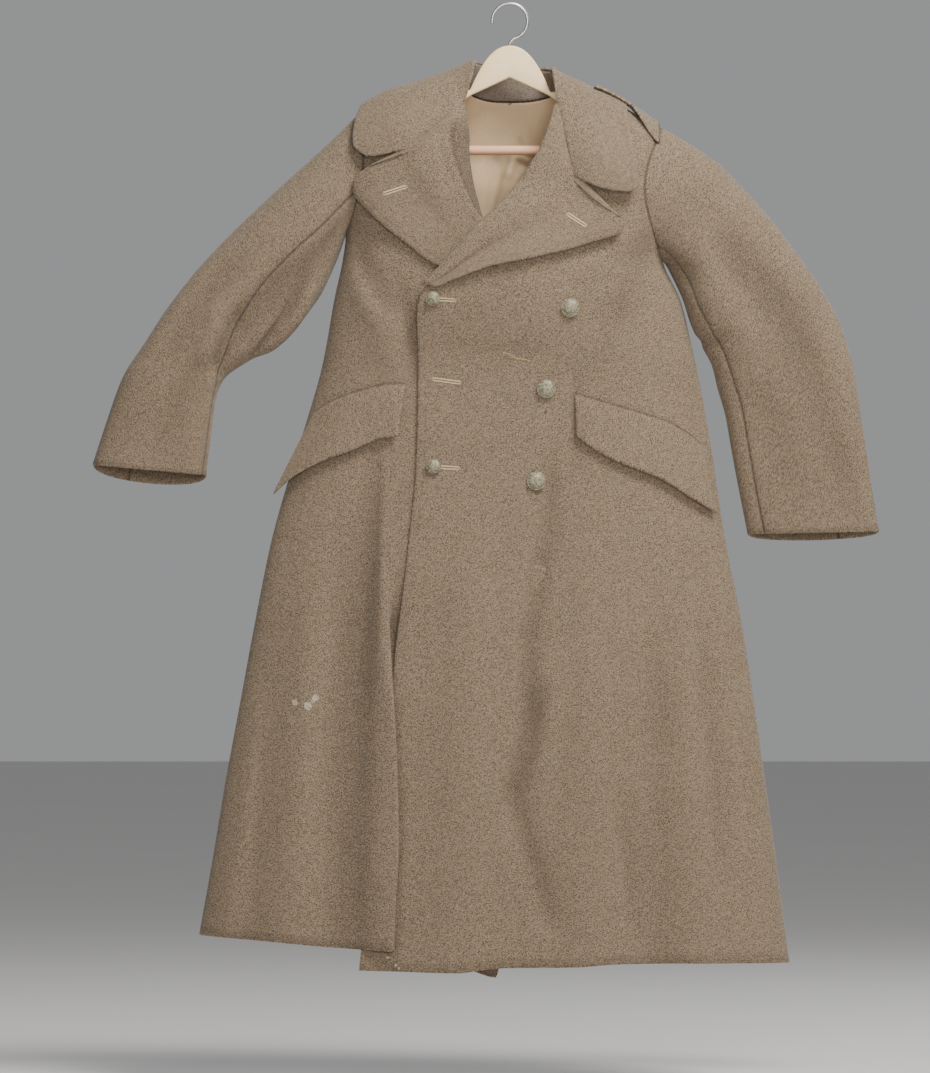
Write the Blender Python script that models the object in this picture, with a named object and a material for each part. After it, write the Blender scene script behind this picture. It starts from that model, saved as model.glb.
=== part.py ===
"""Double-breasted wool greatcoat hung on a wooden hanger. Metres, +Z up.

The origin is the inner top of the hanger's hook. The front faces -Y and the
wearer's left is +X. Every cloth piece is a closed wall laid on one shell: the
flat, rounded form that the empty coat takes as it hangs.
"""
import math

import bmesh
import bpy
from mathutils import Vector

# Cloth and gaps
WOOL = 0.0026
DOUBLE_WOOL = 0.0036
LINING = 0.0012
SEAM_GAP = 0.0004
SIDE_GAP = 0.0007

# Shell of the hanging coat
SHOULDER_ROUNDING = 0.11
SIDE_POWER = 3.0

SHOULDER_LINE = (  # x, z of the ridge along the shoulders
    (-0.250, -0.176), (-0.225, -0.161), (-0.205, -0.150), (-0.176, -0.134), (-0.155, -0.124),
    (-0.108, -0.113), (-0.072, -0.106), (0.000, -0.098), (0.075, -0.112), (0.121, -0.124),
    (0.150, -0.137), (0.178, -0.153), (0.205, -0.168), (0.226, -0.177), (0.255, -0.192),
)
BODY = (  # z, x of right side, x of left side, depth in front, depth behind
    (-0.090, -0.262, 0.270, 0.056, 0.046),
    (-0.150, -0.256, 0.264, 0.060, 0.050),
    (-0.220, -0.244, 0.248, 0.064, 0.056),
    (-0.305, -0.223, 0.222, 0.068, 0.060),
    (-0.345, -0.226, 0.207, 0.069, 0.060),
    (-0.401, -0.238, 0.231, 0.068, 0.058),
    (-0.469, -0.250, 0.248, 0.064, 0.054),
    (-0.509, -0.259, 0.257, 0.061, 0.052),
    (-0.591, -0.2835, 0.272, 0.060, 0.052),
    (-0.665, -0.3065, 0.283, 0.061, 0.053),
    (-0.732, -0.3245, 0.294, 0.062, 0.055),
    (-0.834, -0.345, 0.314, 0.064, 0.058),
    (-0.942, -0.365, 0.331, 0.066, 0.061),
    (-1.050, -0.385, 0.346, 0.068, 0.063),
    (-1.158, -0.403, 0.361, 0.070, 0.066),
    (-1.259, -0.421, 0.374, 0.072, 0.068),
    (-1.330, -0.432, 0.384, 0.073, 0.069),
)
ARMHOLE_RIGHT = (  # z, x
    (-0.150, -0.205), (-0.190, -0.199), (-0.225, -0.199), (-0.259, -0.206), (-0.286, -0.214),
    (-0.306, -0.2228),
)
ARMHOLE_LEFT = (  # z, x
    (-0.168, 0.205), (-0.219, 0.186), (-0.259, 0.182), (-0.300, 0.191), (-0.328, 0.200),
    (-0.345, 0.2065),
)

# Front edges, each from the neck down the roll of the lapel to the hem
EDGE_LEFT = (  # z, x
    (-0.112, 0.074), (-0.151, 0.060), (-0.178, 0.049), (-0.199, 0.040), (-0.226, 0.022),
    (-0.266, -0.006), (-0.291, -0.034), (-0.324, -0.064), (-0.358, -0.096), (-0.377, -0.114),
    (-0.401, -0.122), (-0.470, -0.1235), (-0.536, -0.1235), (-0.591, -0.1245), (-0.645, -0.127),
    (-0.712, -0.134), (-0.793, -0.143), (-0.872, -0.1535), (-0.928, -0.1585), (-1.050, -0.172),
    (-1.200, -0.190), (-1.307, -0.2035),
)
EDGE_RIGHT = (  # z, x
    (-0.106, -0.071), (-0.150, -0.060), (-0.199, -0.059), (-0.239, -0.056), (-0.273, -0.046),
    (-0.300, -0.030), (-0.345, 0.020), (-0.390, 0.072), (-0.430, 0.092), (-0.600, 0.096),
    (-0.900, 0.104), (-1.290, 0.118),
)
HEM = (  # x, z of the right front, z of the left front, z of the back
    (-0.430, -1.259, -1.300, -1.252), (-0.315, -1.268, -1.302, -1.262),
    (-0.235, -1.275, -1.305, -1.272), (-0.157, -1.280, -1.307, -1.284),
    (-0.070, -1.282, -1.309, -1.300), (-0.024, -1.283, -1.303, -1.322),
    (0.000, -1.284, -1.302, -1.296), (0.088, -1.286, -1.301, -1.292),
    (0.147, -1.288, -1.297, -1.289), (0.390, -1.290, -1.297, -1.288),
)

# Long fold of the right front that the left front slips into
FOLD_NOSE = (  # z, x of the fold's edge
    (-0.591, -0.163), (-0.750, -0.165), (-0.872, -0.161), (-0.928, -0.1575), (-1.020, -0.1525),
    (-1.140, -0.150), (-1.210, -0.154), (-1.290, -0.157),
)
FOLD_START = -0.600
FOLD_SHUT = -0.895
FOLD_DEPTH = (  # z, how far the cloth goes back under the fold
    (-0.600, 0.000), (-0.700, 0.004), (-0.800, 0.010), (-0.900, 0.020), (-1.100, 0.042),
    (-1.290, 0.064),
)
FOLD_RIDGE = 0.008
FOLD_NOSE_RADIUS = 0.0030
FOLD_BACK_RADIUS = 0.0045

# Rows down a body panel, as shares of the way from the shoulder to the hem
PANEL_MARKS = (
    0.0, 0.0025, 0.010, 0.024, 0.046, 0.075, 0.108, 0.140, 0.165, 0.200, 0.245, 0.290,
    0.340, 0.390, 0.440, 0.490, 0.535, 0.575, 0.615, 0.655, 0.700, 0.760, 0.830, 0.915, 1.0,
)
SIDE_CROWDING = 1.55
FRONT_LEFT_COLUMNS = 16
BACK_COLUMNS = 10
COLUMNS_TO_FOLD = 9
COLUMNS_PAST_FOLD = 6

# Neck, and the lapped vent of the back
NECK_LEFT = 0.075
NECK_RIGHT = -0.072
CENTRE_BACK = ((-0.131, 0.0), (-0.60, -0.004), (-1.30, -0.014))  # z, x
VENT_START = -0.78
VENT_LAP = 0.030
VENT_STEP = 0.0025

# Layers over the shell
OVERLAP_LIFT = 0.0048
LAPEL_LIFT = 0.0152
LAPEL_OVER_FRONT = 0.0038
ROLL_SETBACK = 0.0135
FACING_DROP = 0.0010
FLAP_OVER_FRONT = 0.0036

DRAPE = (  # panel, x and z at the top, x and z at the bottom, half width, height, 1 if it fades out below
    ("front_left", 0.050, -0.62, 0.066, -1.32, 0.026, -0.0065, 0),
    ("front_left", 0.104, -0.66, 0.128, -1.32, 0.030, 0.0060, 0),
    ("front_left", 0.176, -0.80, 0.206, -1.32, 0.024, -0.0060, 0),
    ("front_left", 0.246, -0.78, 0.285, -1.32, 0.026, 0.0045, 0),
    ("front_left", -0.030, -0.60, -0.080, -1.32, 0.034, 0.0040, 0),
    ("front_right", -0.190, -0.56, -0.196, -0.96, 0.017, -0.0060, 1),
    ("front_right", -0.250, -0.70, -0.285, -1.30, 0.028, 0.0050, 0),
    ("front_right", -0.305, -0.80, -0.350, -1.30, 0.022, -0.0045, 0),
    ("back", -0.190, -0.55, -0.270, -1.32, 0.030, -0.0080, 0),
    ("back", -0.105, -0.50, -0.150, -1.32, 0.030, 0.0075, 0),
    ("back", 0.100, -0.52, 0.130, -1.32, 0.030, 0.0070, 0),
    ("back", 0.195, -0.60, 0.245, -1.32, 0.028, -0.0080, 0),
)

FACING_REACH = 0.014
LAPEL_PUFF = 0.0035
LAPEL_CURL = 0.0040
LAPEL_RIGHT = (  # x and z on the roll, x and z on the outer edge
    (-0.0630, -0.138, -0.134, -0.2000), (-0.0600, -0.150, -0.149, -0.2065),
    (-0.0575, -0.165, -0.175, -0.2175), (-0.0565, -0.178, -0.196, -0.2280),
    (-0.0585, -0.192, -0.2045, -0.2380), (-0.0580, -0.206, -0.2050, -0.2560),
    (-0.0555, -0.226, -0.190, -0.2760), (-0.0515, -0.246, -0.164, -0.3020),
    (-0.0450, -0.268, -0.134, -0.3280), (-0.0340, -0.288, -0.104, -0.3510),
    (-0.0160, -0.306, -0.066, -0.3680),
)
LAPEL_LEFT = (
    (0.0650, -0.138, 0.0825, -0.2340), (0.0600, -0.154, 0.1020, -0.2560),
    (0.0530, -0.174, 0.1230, -0.2740), (0.0460, -0.190, 0.1440, -0.2890),
    (0.0400, -0.200, 0.1490, -0.2985), (0.0300, -0.216, 0.1425, -0.3110),
    (0.0100, -0.246, 0.1130, -0.3210), (-0.0150, -0.274, 0.0700, -0.3345),
    (-0.0380, -0.296, 0.0200, -0.3460), (-0.0660, -0.327, -0.0290, -0.3560),
    (-0.0960, -0.359, -0.0740, -0.3730), (-0.1150, -0.377, -0.1010, -0.3845),
)

LEAF_LIFT = 0.0078
LEAF_OVER_STRAP = 0.0110
LEAF_OVER_LAPEL = 0.0064
LEAF_EDGE_LIFT = 0.0030
LEAF_RISE = 0.0060
LEAF_BULGE_LEFT = 0.0090
LEAF_BULGE_RIGHT = 0.0050
STAND_ABOVE_SEAM = 0.0028
STAND_FROM_ROW, STAND_TO_ROW = 4.0, 10.0
COLLAR = (  # fold x, y, z; outer x; how far round the shoulder: 1 is down the front, -1 the back
    (-0.1360, None, -0.1978, -0.1930, -0.2065, 1),
    (-0.1008, None, -0.1638, -0.2060, -0.1860, 1),
    (-0.0650, None, -0.1360, -0.2050, -0.1650, 1),
    (-0.0560, -0.040, -0.1020, -0.1980, -0.1490, 1),
    (-0.0540, -0.020, -0.0800, -0.1860, -0.1450, -1),
    (-0.0540, 0.018, -0.0780, -0.1600, -0.1700, -1),
    (-0.0300, 0.043, -0.0800, -0.1000, -0.1900, -1),
    (0.0020, 0.050, -0.0830, -0.0100, -0.1980, -1),
    (0.0340, 0.043, -0.0850, 0.0800, -0.1930, -1),
    (0.0580, 0.018, -0.0880, 0.1240, -0.1780, -1),
    (0.0620, -0.018, -0.0900, 0.1440, -0.1560, -1),
    (0.0645, -0.040, -0.1080, 0.1540, -0.1500, 1),
    (0.0684, None, -0.1362, 0.1600, -0.1850, 1),
    (0.0783, None, -0.1897, 0.1665, -0.2300, 1),
    (0.0860, None, -0.2330, 0.1560, -0.2550, 1),
)

SLEEVE_RIGHT = (  # outer x, z; inner x, z; half depth; drop of the far side; front seam, 0 at the inner edge
    (-0.2490, -0.1950, -0.2390, -0.3640, 0.043, 0.000, 0.36),
    (-0.2850, -0.2250, -0.2600, -0.3970, 0.044, 0.000, 0.44),
    (-0.3280, -0.2640, -0.2900, -0.4360, 0.043, 0.000, 0.49),
    (-0.3820, -0.3160, -0.3260, -0.4650, 0.041, 0.000, 0.47),
    (-0.4270, -0.3640, -0.3580, -0.4840, 0.039, 0.000, 0.33),
    (-0.4620, -0.4100, -0.3840, -0.5020, 0.037, 0.000, 0.13),
    (-0.4950, -0.4600, -0.3950, -0.5200, 0.035, 0.000, 0.05),
    (-0.5240, -0.5050, -0.4010, -0.5440, 0.033, 0.002, 0.03),
    (-0.5450, -0.5600, -0.4060, -0.5850, 0.031, 0.006, 0.03),
    (-0.5640, -0.6170, -0.4120, -0.6300, 0.030, 0.014, 0.03),
)
SLEEVE_LEFT = (
    (0.2560, -0.1950, 0.2250, -0.3730, 0.043, 0.000, 0.10),
    (0.2900, -0.2220, 0.2370, -0.4040, 0.044, 0.000, 0.12),
    (0.3350, -0.2700, 0.2470, -0.4340, 0.043, 0.000, 0.13),
    (0.3780, -0.3240, 0.2600, -0.4620, 0.041, 0.000, 0.13),
    (0.4180, -0.3800, 0.2740, -0.4880, 0.038, 0.000, 0.12),
    (0.4480, -0.4350, 0.2830, -0.5220, 0.036, 0.000, 0.12),
    (0.4660, -0.4950, 0.2930, -0.5560, 0.034, 0.000, 0.12),
    (0.4760, -0.5600, 0.3010, -0.6000, 0.032, 0.002, 0.12),
    (0.4860, -0.6250, 0.3110, -0.6550, 0.030, 0.006, 0.12),
    (0.5000, -0.7130, 0.3230, -0.7170, 0.028, 0.010, 0.12),
)
SLEEVE_MARKS = (0.0, 0.03, 0.07, 0.13, 0.20, 0.28, 0.37, 0.46, 0.55, 0.65, 0.76, 0.88, 1.0)
SLEEVE_COLUMNS = 8
HIND_SEAM = 0.30
SLEEVE_SEAM_TURN = 0.013
ARMHOLE_GAP = 0.0017

FLAP_RIGHT = (  # x, z on the top seam, z at the lower edge, lift of the lower edge, x at the lower edge
    (-0.1430, -0.5140, -0.5850, 0.004, -0.1530), (-0.1690, -0.5150, -0.5880, 0.005, -0.1760),
    (-0.2030, -0.5235, -0.6040, 0.006, -0.2120), (-0.2300, -0.5330, -0.6190, 0.008, -0.2500),
    (-0.2500, -0.5430, -0.6420, 0.009, -0.2880), (-0.2615, -0.5520, -0.6640, 0.009, -0.3130),
)
FLAP_LEFT = (
    (0.0890, -0.5275, -0.5850, 0.003, 0.0905), (0.1210, -0.5370, -0.6030, 0.004, 0.1150),
    (0.1610, -0.5490, -0.6200, 0.005, 0.1480), (0.2060, -0.5630, -0.6420, 0.006, 0.2020),
    (0.2380, -0.5800, -0.6680, 0.006, 0.2420), (0.2570, -0.5960, -0.6880, 0.006, 0.2740),
)

STRAP_THICKNESS = 0.0044
STRAP_HALF_WIDTH = 0.026
STRAP_NARROWING = 0.84
STRAP_WRAP = 0.42
STRAP_LYING = 0.0050
STRAP_STAND = 0.0055
STRAP_RISE = 0.0110
STRAP_CAMBER = 0.0016
STRAPS = (  # side, x at the armhole, x at the collar
    ("left", 0.2000, 0.1170), ("right", -0.1960, -0.1010),
)

BUTTONS = (  # x, z, how far it is sunk in the cloth's hollow, size beside the largest
    (0.0810, -0.4120, 0.0, 1.0), (0.0490, -0.5215, 0.0, 1.0), (0.0355, -0.6460, 0.0, 1.0),
    (-0.1040, -0.4000, 0.0012, 0.78), (-0.1030, -0.6260, 0.0, 0.80),
)
BUTTON_PROFILE = (  # radius, height over the foot
    (0.0045, 0.0), (0.0045, 0.0016), (0.0117, 0.0020), (0.0127, 0.0030), (0.0118, 0.0038),
    (0.0085, 0.0056), (0.0045, 0.0068), (0.0012, 0.0072),
)
BUTTON_SIDES = 12

# Lining of the back, as far as it shows
LINING_TOP = -0.134
LINING_FOOT = -0.52
LINING_HALF_TOP = 0.050
LINING_HALF_FOOT = 0.150
LINING_AT_SEAM = 0.0034
LINING_OFF_BACK = 0.0046
LINING_CREASE = 0.0040

# Hanger
HANGER_THICKNESS = 0.012
HANGER_REACH_RIGHT = -0.182
HANGER_REACH_LEFT = 0.184
HEAD_TOP = -0.0554
HEAD_NOTCH = -0.0986
HEAD_HALF_WIDTH = 0.060
HEAD_DROP = 0.055
HEAD_ARCH = 0.0580
ARM_CLEARANCE = 0.0085
ARM_HEIGHT = 0.030
ARM_SLOPE = 0.46
HANGER_EDGE = 0.0025
HANGER_END_ROUNDING = 0.010
BAR_Z = -0.1973
BAR_RADIUS = 0.0065
BAR_REACH = 0.1550
ARM_END_FOOT = -0.2085
HOOK_WIRE = 0.0021
HOOK_RADIUS = 0.0220


def table(rows, key, column, value):
    """Read one column of a table at any value of its key column, smoothly."""
    keys = [row[key] for row in rows]
    if keys[0] > keys[-1]:
        keys = [-k for k in keys]
        value = -value
    if value <= keys[0]:
        return rows[0][column]
    if value >= keys[-1]:
        return rows[-1][column]
    i = next(n for n in range(len(keys) - 1) if value <= keys[n + 1])
    last = len(keys) - 1
    before, after = max(i - 1, 0), min(i + 2, last)
    width = keys[i + 1] - keys[i]
    slope_in = (rows[i + 1][column] - rows[before][column]) / (keys[i + 1] - keys[before])
    slope_out = (rows[after][column] - rows[i][column]) / (keys[after] - keys[i])
    t = (value - keys[i]) / width
    low, high = rows[i][column], rows[i + 1][column]
    return (low * (2 * t ** 3 - 3 * t ** 2 + 1) + high * (3 * t ** 2 - 2 * t ** 3)
            + width * (slope_in * (t ** 3 - 2 * t ** 2 + t) + slope_out * (t ** 3 - t ** 2)))


def row_at(rows, position):
    """Read every column of a table at a position from 0 to 1 along its rows."""
    numbered = [(n,) + tuple(row) for n, row in enumerate(rows)]
    place = position * (len(rows) - 1)
    return [table(numbered, 0, c, place) for c in range(1, len(numbered[0]))]


def smooth(low, high, value):
    t = min(max((value - low) / (high - low), 0.0), 1.0)
    return t * t * (3 - 2 * t)


def lerp(a, b, t):
    return a + (b - a) * t


def depth(x, z, behind):
    """Distance of the shell from the hanger's plane."""
    right, left = table(BODY, 0, 1, z), table(BODY, 0, 2, z)
    across = min(abs(2 * x - right - left) / (left - right), 1.0)
    below = min(max((table(SHOULDER_LINE, 0, 1, x) - z) / SHOULDER_ROUNDING, 0.0), 1.0)
    full = table(BODY, 0, 4 if behind else 3, z)
    return full * math.sqrt(1 - across ** SIDE_POWER) * math.sqrt(1 - (1 - below) ** 2)


def drape(panel, x, z):
    """Height of the long soft folds that fall through a panel."""
    height = 0.0
    for owner, x_top, z_top, x_low, z_low, half_width, tall, fades in DRAPE:
        if owner != panel:
            continue
        t = min(max((z - z_top) / (z_low - z_top), 0.0), 1.0)
        away = (x - lerp(x_top, x_low, t)) / (half_width * (0.6 + 0.6 * t))
        height += tall * math.exp(-away * away) * smooth(0.0, 0.45, t) * (1 - fades * smooth(0.5, 1.0, t))
    return height


def on_shell(x, z, behind=False):
    y = depth(x, z, behind) + SIDE_GAP
    return Vector((x, y if behind else -y, z))


def out_of_shell(x, z, behind=False):
    """Direction straight out of the shell."""
    step = 0.003
    here = on_shell(x, z, behind)
    slope_x = (on_shell(x + step, z, behind) - on_shell(x - step, z, behind)).y / (2 * step)
    slope_z = (on_shell(x, z + step, behind) - on_shell(x, z - step, behind)).y / (2 * step)
    slope_x = min(max(slope_x, -2.5), 2.5)
    slope_z = min(max(slope_z, -2.5), 2.5)
    out = Vector((slope_x, -1.0, slope_z)) if here.y < 0 else Vector((-slope_x, 1.0, -slope_z))
    return out.normalized()


def left_front_lift(x, z):
    """How far the left front lies over the shell, from what is under it."""
    over_lapel = smooth(-0.50, -0.38, z) * smooth(-0.235, -0.285, z)
    over_lapel *= smooth(0.10, 0.0, x)
    lift = OVERLAP_LIFT * smooth(0.24, 0.10, x) + (LAPEL_LIFT - OVERLAP_LIFT) * over_lapel
    sunk = (FOLD_RIDGE - 2 * FOLD_NOSE_RADIUS - FOLD_BACK_RADIUS) - OVERLAP_LIFT
    tucked = smooth(FOLD_START, FOLD_SHUT - 0.005, z) * smooth(-0.03, -0.14, x)
    return lift + sunk * tucked + drape("front_left", x, z)


def front_left_point(x, z):
    return on_shell(x, z) + Vector((0, -left_front_lift(x, z), 0))


def front_right_point(x, z):
    return on_shell(x, z) + Vector((0, -drape("front_right", x, z), 0))


def wall(name, grid, thickness, material):
    """Close a grid of mid-wall points into a cloth wall."""
    rows, columns = len(grid), len(grid[0])
    bm = bmesh.new()
    outer, inner = [], []
    for j in range(rows):
        outer.append([])
        inner.append([])
        for i in range(columns):
            along = grid[j][min(i + 1, columns - 1)] - grid[j][max(i - 1, 0)]
            down = grid[min(j + 1, rows - 1)][i] - grid[max(j - 1, 0)][i]
            normal = along.cross(down).normalized() * (thickness / 2)
            outer[j].append(bm.verts.new(grid[j][i] + normal))
            inner[j].append(bm.verts.new(grid[j][i] - normal))
    for j in range(rows - 1):
        for i in range(columns - 1):
            bm.faces.new((outer[j][i], outer[j][i + 1], outer[j + 1][i + 1], outer[j + 1][i]))
            bm.faces.new((inner[j][i], inner[j + 1][i], inner[j + 1][i + 1], inner[j][i + 1]))
    rim = [(0, i) for i in range(columns)] + [(j, columns - 1) for j in range(1, rows)]
    rim += [(rows - 1, i) for i in range(columns - 2, -1, -1)] + [(j, 0) for j in range(rows - 2, 0, -1)]
    for (j, i), (q, p) in zip(rim, rim[1:] + rim[:1]):
        bm.faces.new((outer[q][p], outer[j][i], inner[j][i], inner[q][p]))
    bmesh.ops.recalc_face_normals(bm, faces=bm.faces)
    return solid(name, bm, material)


def solid(name, bm, material):
    mesh = bpy.data.meshes.new(name)
    bm.to_mesh(mesh)
    bm.free()
    obj = bpy.data.objects.new(name, mesh)
    bpy.context.scene.collection.objects.link(obj)
    mesh.shade_smooth()
    mesh.set_sharp_from_angle(angle=math.radians(40))
    mesh.materials.append(material)
    return obj


def finish(name, colour, roughness, metallic=0.0):
    made = bpy.data.materials.new(name)
    made.use_nodes = True
    shader = made.node_tree.nodes["Principled BSDF"]
    shader.inputs["Base Color"].default_value = (*colour, 1.0)
    shader.inputs["Roughness"].default_value = roughness
    shader.inputs["Metallic"].default_value = metallic
    return made


def side_line(side, z):
    """Side of the body: the armhole, and below it the side seam."""
    hole = ARMHOLE_LEFT if side == "left" else ARMHOLE_RIGHT
    if z > hole[-1][0]:
        return table(hole, 0, 1, z)
    return table(BODY, 0, 2 if side == "left" else 1, z)


def panel_rows(side, edge, hem_column):
    """The two ends of each row of a body panel: side and front or centre edge."""
    hole = ARMHOLE_LEFT if side == "left" else ARMHOLE_RIGHT
    side_hem_x = table(BODY, 0, 2 if side == "left" else 1, -1.28)
    side_hem = table(HEM, 0, hem_column, side_hem_x)
    edge_hem = table(HEM, 0, hem_column, edge[-1][1])
    rows = []
    for mark in PANEL_MARKS:
        z_side = lerp(hole[0][0], side_hem, mark)
        z_edge = lerp(edge[0][0], edge_hem, mark)
        rows.append((side_line(side, z_side), z_side, table(edge, 0, 1, z_edge), z_edge, mark))
    return rows


def hem_bend(x, z, hem_column, mark, straight_hem):
    """Let the last rows follow the hem's own line."""
    return z + (table(HEM, 0, hem_column, x) - straight_hem) * smooth(0.80, 1.0, mark)


def behind_roll(edge, side):
    """The front's edge, drawn back from the lapel's roll so that the facing goes round it."""
    away = 1 if side == "left" else -1
    end_z = -0.392 if side == "left" else -0.315
    return tuple((z, x + away * ROLL_SETBACK * smooth(end_z, end_z + 0.02, z)) for z, x in edge)


def make_front_left(material):
    across = FRONT_LEFT_COLUMNS
    grid = []
    rows = panel_rows("left", behind_roll(EDGE_LEFT, "left"), 2)
    for side_x, side_z, edge_x, edge_z, mark in rows:
        row = []
        for i in range(across + 1):
            g = (i / across) ** SIDE_CROWDING
            x = lerp(side_x, edge_x, g)
            z = lerp(side_z, edge_z, g)
            if mark == 0.0:
                z = table(SHOULDER_LINE, 0, 1, x)
            z = hem_bend(x, z, 2, mark, lerp(rows[-1][1], rows[-1][3], g))
            row.append(front_left_point(x, z))
        grid.append(row)
    return wall("front_left", grid, WOOL, material)


def fold_path(z, nose_x):
    """Points of the long fold, from its edge round and back, as x and height."""
    shut = smooth(FOLD_START, FOLD_SHUT, z)
    turn = math.pi * shut
    height = FOLD_RIDGE * shut
    under = table(FOLD_DEPTH, 0, 1, z)
    x, heading = nose_x - FOLD_NOSE_RADIUS - WOOL / 2, 0.0
    points = [(x, height)]
    for radius, sign, steps in ((FOLD_NOSE_RADIUS, 1, 4), (None, 0, 2), (FOLD_BACK_RADIUS, -1, 4)):
        for _ in range(steps):
            if radius is None:
                length = max(under, 0.004) / steps
            else:
                length = 2 * radius * math.sin(turn / steps / 2) if turn > 0.02 else 0.0
                length = max(length, 0.0015)
                heading += sign * turn / steps / 2
            x += length * math.cos(heading)
            height -= length * math.sin(heading)
            if radius is not None:
                heading += sign * turn / steps / 2
            points.append((x, height))
    return points


def make_front_right(material):
    to_fold, past_fold = COLUMNS_TO_FOLD, COLUMNS_PAST_FOLD
    grid = []
    rows = panel_rows("right", behind_roll(EDGE_RIGHT, "right"), 1)
    for side_x, side_z, edge_x, edge_z, mark in rows:
        middle_z = lerp(side_z, edge_z, 0.45)
        by_share = lerp(side_x, edge_x, 0.45)
        nose_x = lerp(by_share, table(FOLD_NOSE, 0, 1, middle_z), smooth(-0.40, -0.58, middle_z))
        folded = fold_path(middle_z, nose_x)
        spots = [(lerp(side_x, folded[0][0], (i / to_fold) ** SIDE_CROWDING), None) for i in range(to_fold)]
        spots += folded
        end_x, end_height = folded[-1]
        spots += [(lerp(end_x, edge_x, i / past_fold), end_height) for i in range(1, past_fold + 1)]
        row = []
        for x, height in spots:
            share = (x - side_x) / (edge_x - side_x)
            z = lerp(side_z, edge_z, share)
            if mark == 0.0:
                z = table(SHOULDER_LINE, 0, 1, x)
            z = hem_bend(x, z, 1, mark, lerp(rows[-1][1], rows[-1][3], share))
            if height is None:
                under = table(FOLD_DEPTH, 0, 1, middle_z)
                height = folded[0][1] * smooth(under + 0.050, under + 0.004, folded[0][0] - x)
            ahead = -drape("front_right", x, z) if x < folded[0][0] else 0.0
            row.append(on_shell(x, z) + Vector((0, ahead - height, 0)))
        grid.append(row)
    return wall("front_right", grid, WOOL, material)


def neck_line(x):
    """Height of the back's top edge: the neck curve, then the shoulder seam."""
    neck_x = NECK_LEFT if x > 0 else NECK_RIGHT
    if abs(x) >= abs(neck_x):
        return table(SHOULDER_LINE, 0, 1, x)
    return lerp(CENTRE_BACK[0][0], table(SHOULDER_LINE, 0, 1, neck_x), (x / neck_x) ** 3)


def make_back(side, material):
    across = BACK_COLUMNS
    sign = 1 if side == "left" else -1
    hole = ARMHOLE_LEFT if side == "left" else ARMHOLE_RIGHT
    grid = []
    rows = panel_rows(side, CENTRE_BACK, 3)
    for side_x, side_z, edge_x, edge_z, mark in rows:
        apart = smooth(VENT_START + 0.07, VENT_START, edge_z)
        lap = VENT_LAP * smooth(VENT_START, VENT_START - 0.06, edge_z)
        edge_x += sign * (SEAM_GAP * 0.75 - lap)
        row = []
        for i in range(across + 1):
            g = (i / across) ** SIDE_CROWDING
            x = lerp(side_x, edge_x, g)
            z = lerp(side_z, edge_z, g)
            at_top = (1 - smooth(0.0, 0.12, mark)) if mark > 0 else 1.0
            straight_top = lerp(hole[0][0], CENTRE_BACK[0][0], g)
            z += (neck_line(x) - straight_top) * at_top
            z = hem_bend(x, z, 3, mark, lerp(rows[-1][1], rows[-1][3], g))
            point = on_shell(x, z, behind=True)
            height = drape("back", x, z)
            near_lap = smooth(0.09, 0.03, abs(x - CENTRE_BACK[0][1]))
            height -= sign * VENT_STEP * apart * near_lap
            row.append(point + Vector((0, height, 0)))
        grid.append(row)
    return wall("back_" + side, grid, WOOL, material)


def sleeve_ring(side, position):
    """Outer and inner edge, depth and seams of a sleeve at a place along it."""
    rows = SLEEVE_LEFT if side == "left" else SLEEVE_RIGHT
    return row_at(rows, position)


def armhole_point(side, turn):
    """A point of the armhole: turn 0 at the shoulder, half a turn at the underarm."""
    hole = ARMHOLE_LEFT if side == "left" else ARMHOLE_RIGHT
    top, low = hole[0][0], hole[-1][0]
    z = (top + low) / 2 + (top - low) / 2 * math.cos(turn)
    return on_shell(table(hole, 0, 1, z), z, behind=math.sin(turn) < 0)


def sleeve_point(side, position, turn):
    """A point of the sleeve: position 0 at the armhole and 1 at the cuff."""
    out_x, out_z, in_x, in_z, half_depth, drop, _ = sleeve_ring(side, max(position - 0.06, 0) / 0.94)
    swell = math.copysign(abs(math.sin(turn)) ** 0.85, math.sin(turn))
    middle = Vector(((out_x + in_x) / 2, -swell * half_depth, (out_z + in_z) / 2))
    half = Vector(((out_x - in_x) / 2, 0, (out_z - in_z) / 2))
    free = middle + half * math.cos(turn)
    if swell < 0:
        free.z += drop * swell
    start = armhole_point(side, turn)
    away = (Vector(((out_x + in_x) / 2, 0, 0)) - Vector((start.x, 0, 0))).normalized()
    start += away * (WOOL / 2 + ARMHOLE_GAP)
    near = 1 - smooth(0.0, 0.16, position)
    return free.lerp(start, near)


def make_sleeve(side, piece, material):
    across = SLEEVE_COLUMNS
    grid = []
    for mark in SLEEVE_MARKS:
        seam = sleeve_ring(side, mark)[6]
        front_seam = math.acos(-1 + 2 * seam)
        hind_seam = -math.acos(1 - 2 * HIND_SEAM)
        if piece == "top":
            start, end = hind_seam + SLEEVE_SEAM_TURN, front_seam - SLEEVE_SEAM_TURN
        else:
            start, end = front_seam + SLEEVE_SEAM_TURN, hind_seam + 2 * math.pi - SLEEVE_SEAM_TURN
        row = [sleeve_point(side, mark, lerp(start, end, i / across)) for i in range(across + 1)]
        grid.append(row if side == "right" else row[::-1])
    return wall(f"sleeve_{piece}_{side}", grid, WOOL, material)


def lapel_point(side, x, z, over):
    point = front_left_point(x, z) if side == "left" else front_right_point(x, z)
    return point + out_of_shell(x, z) * over


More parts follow.
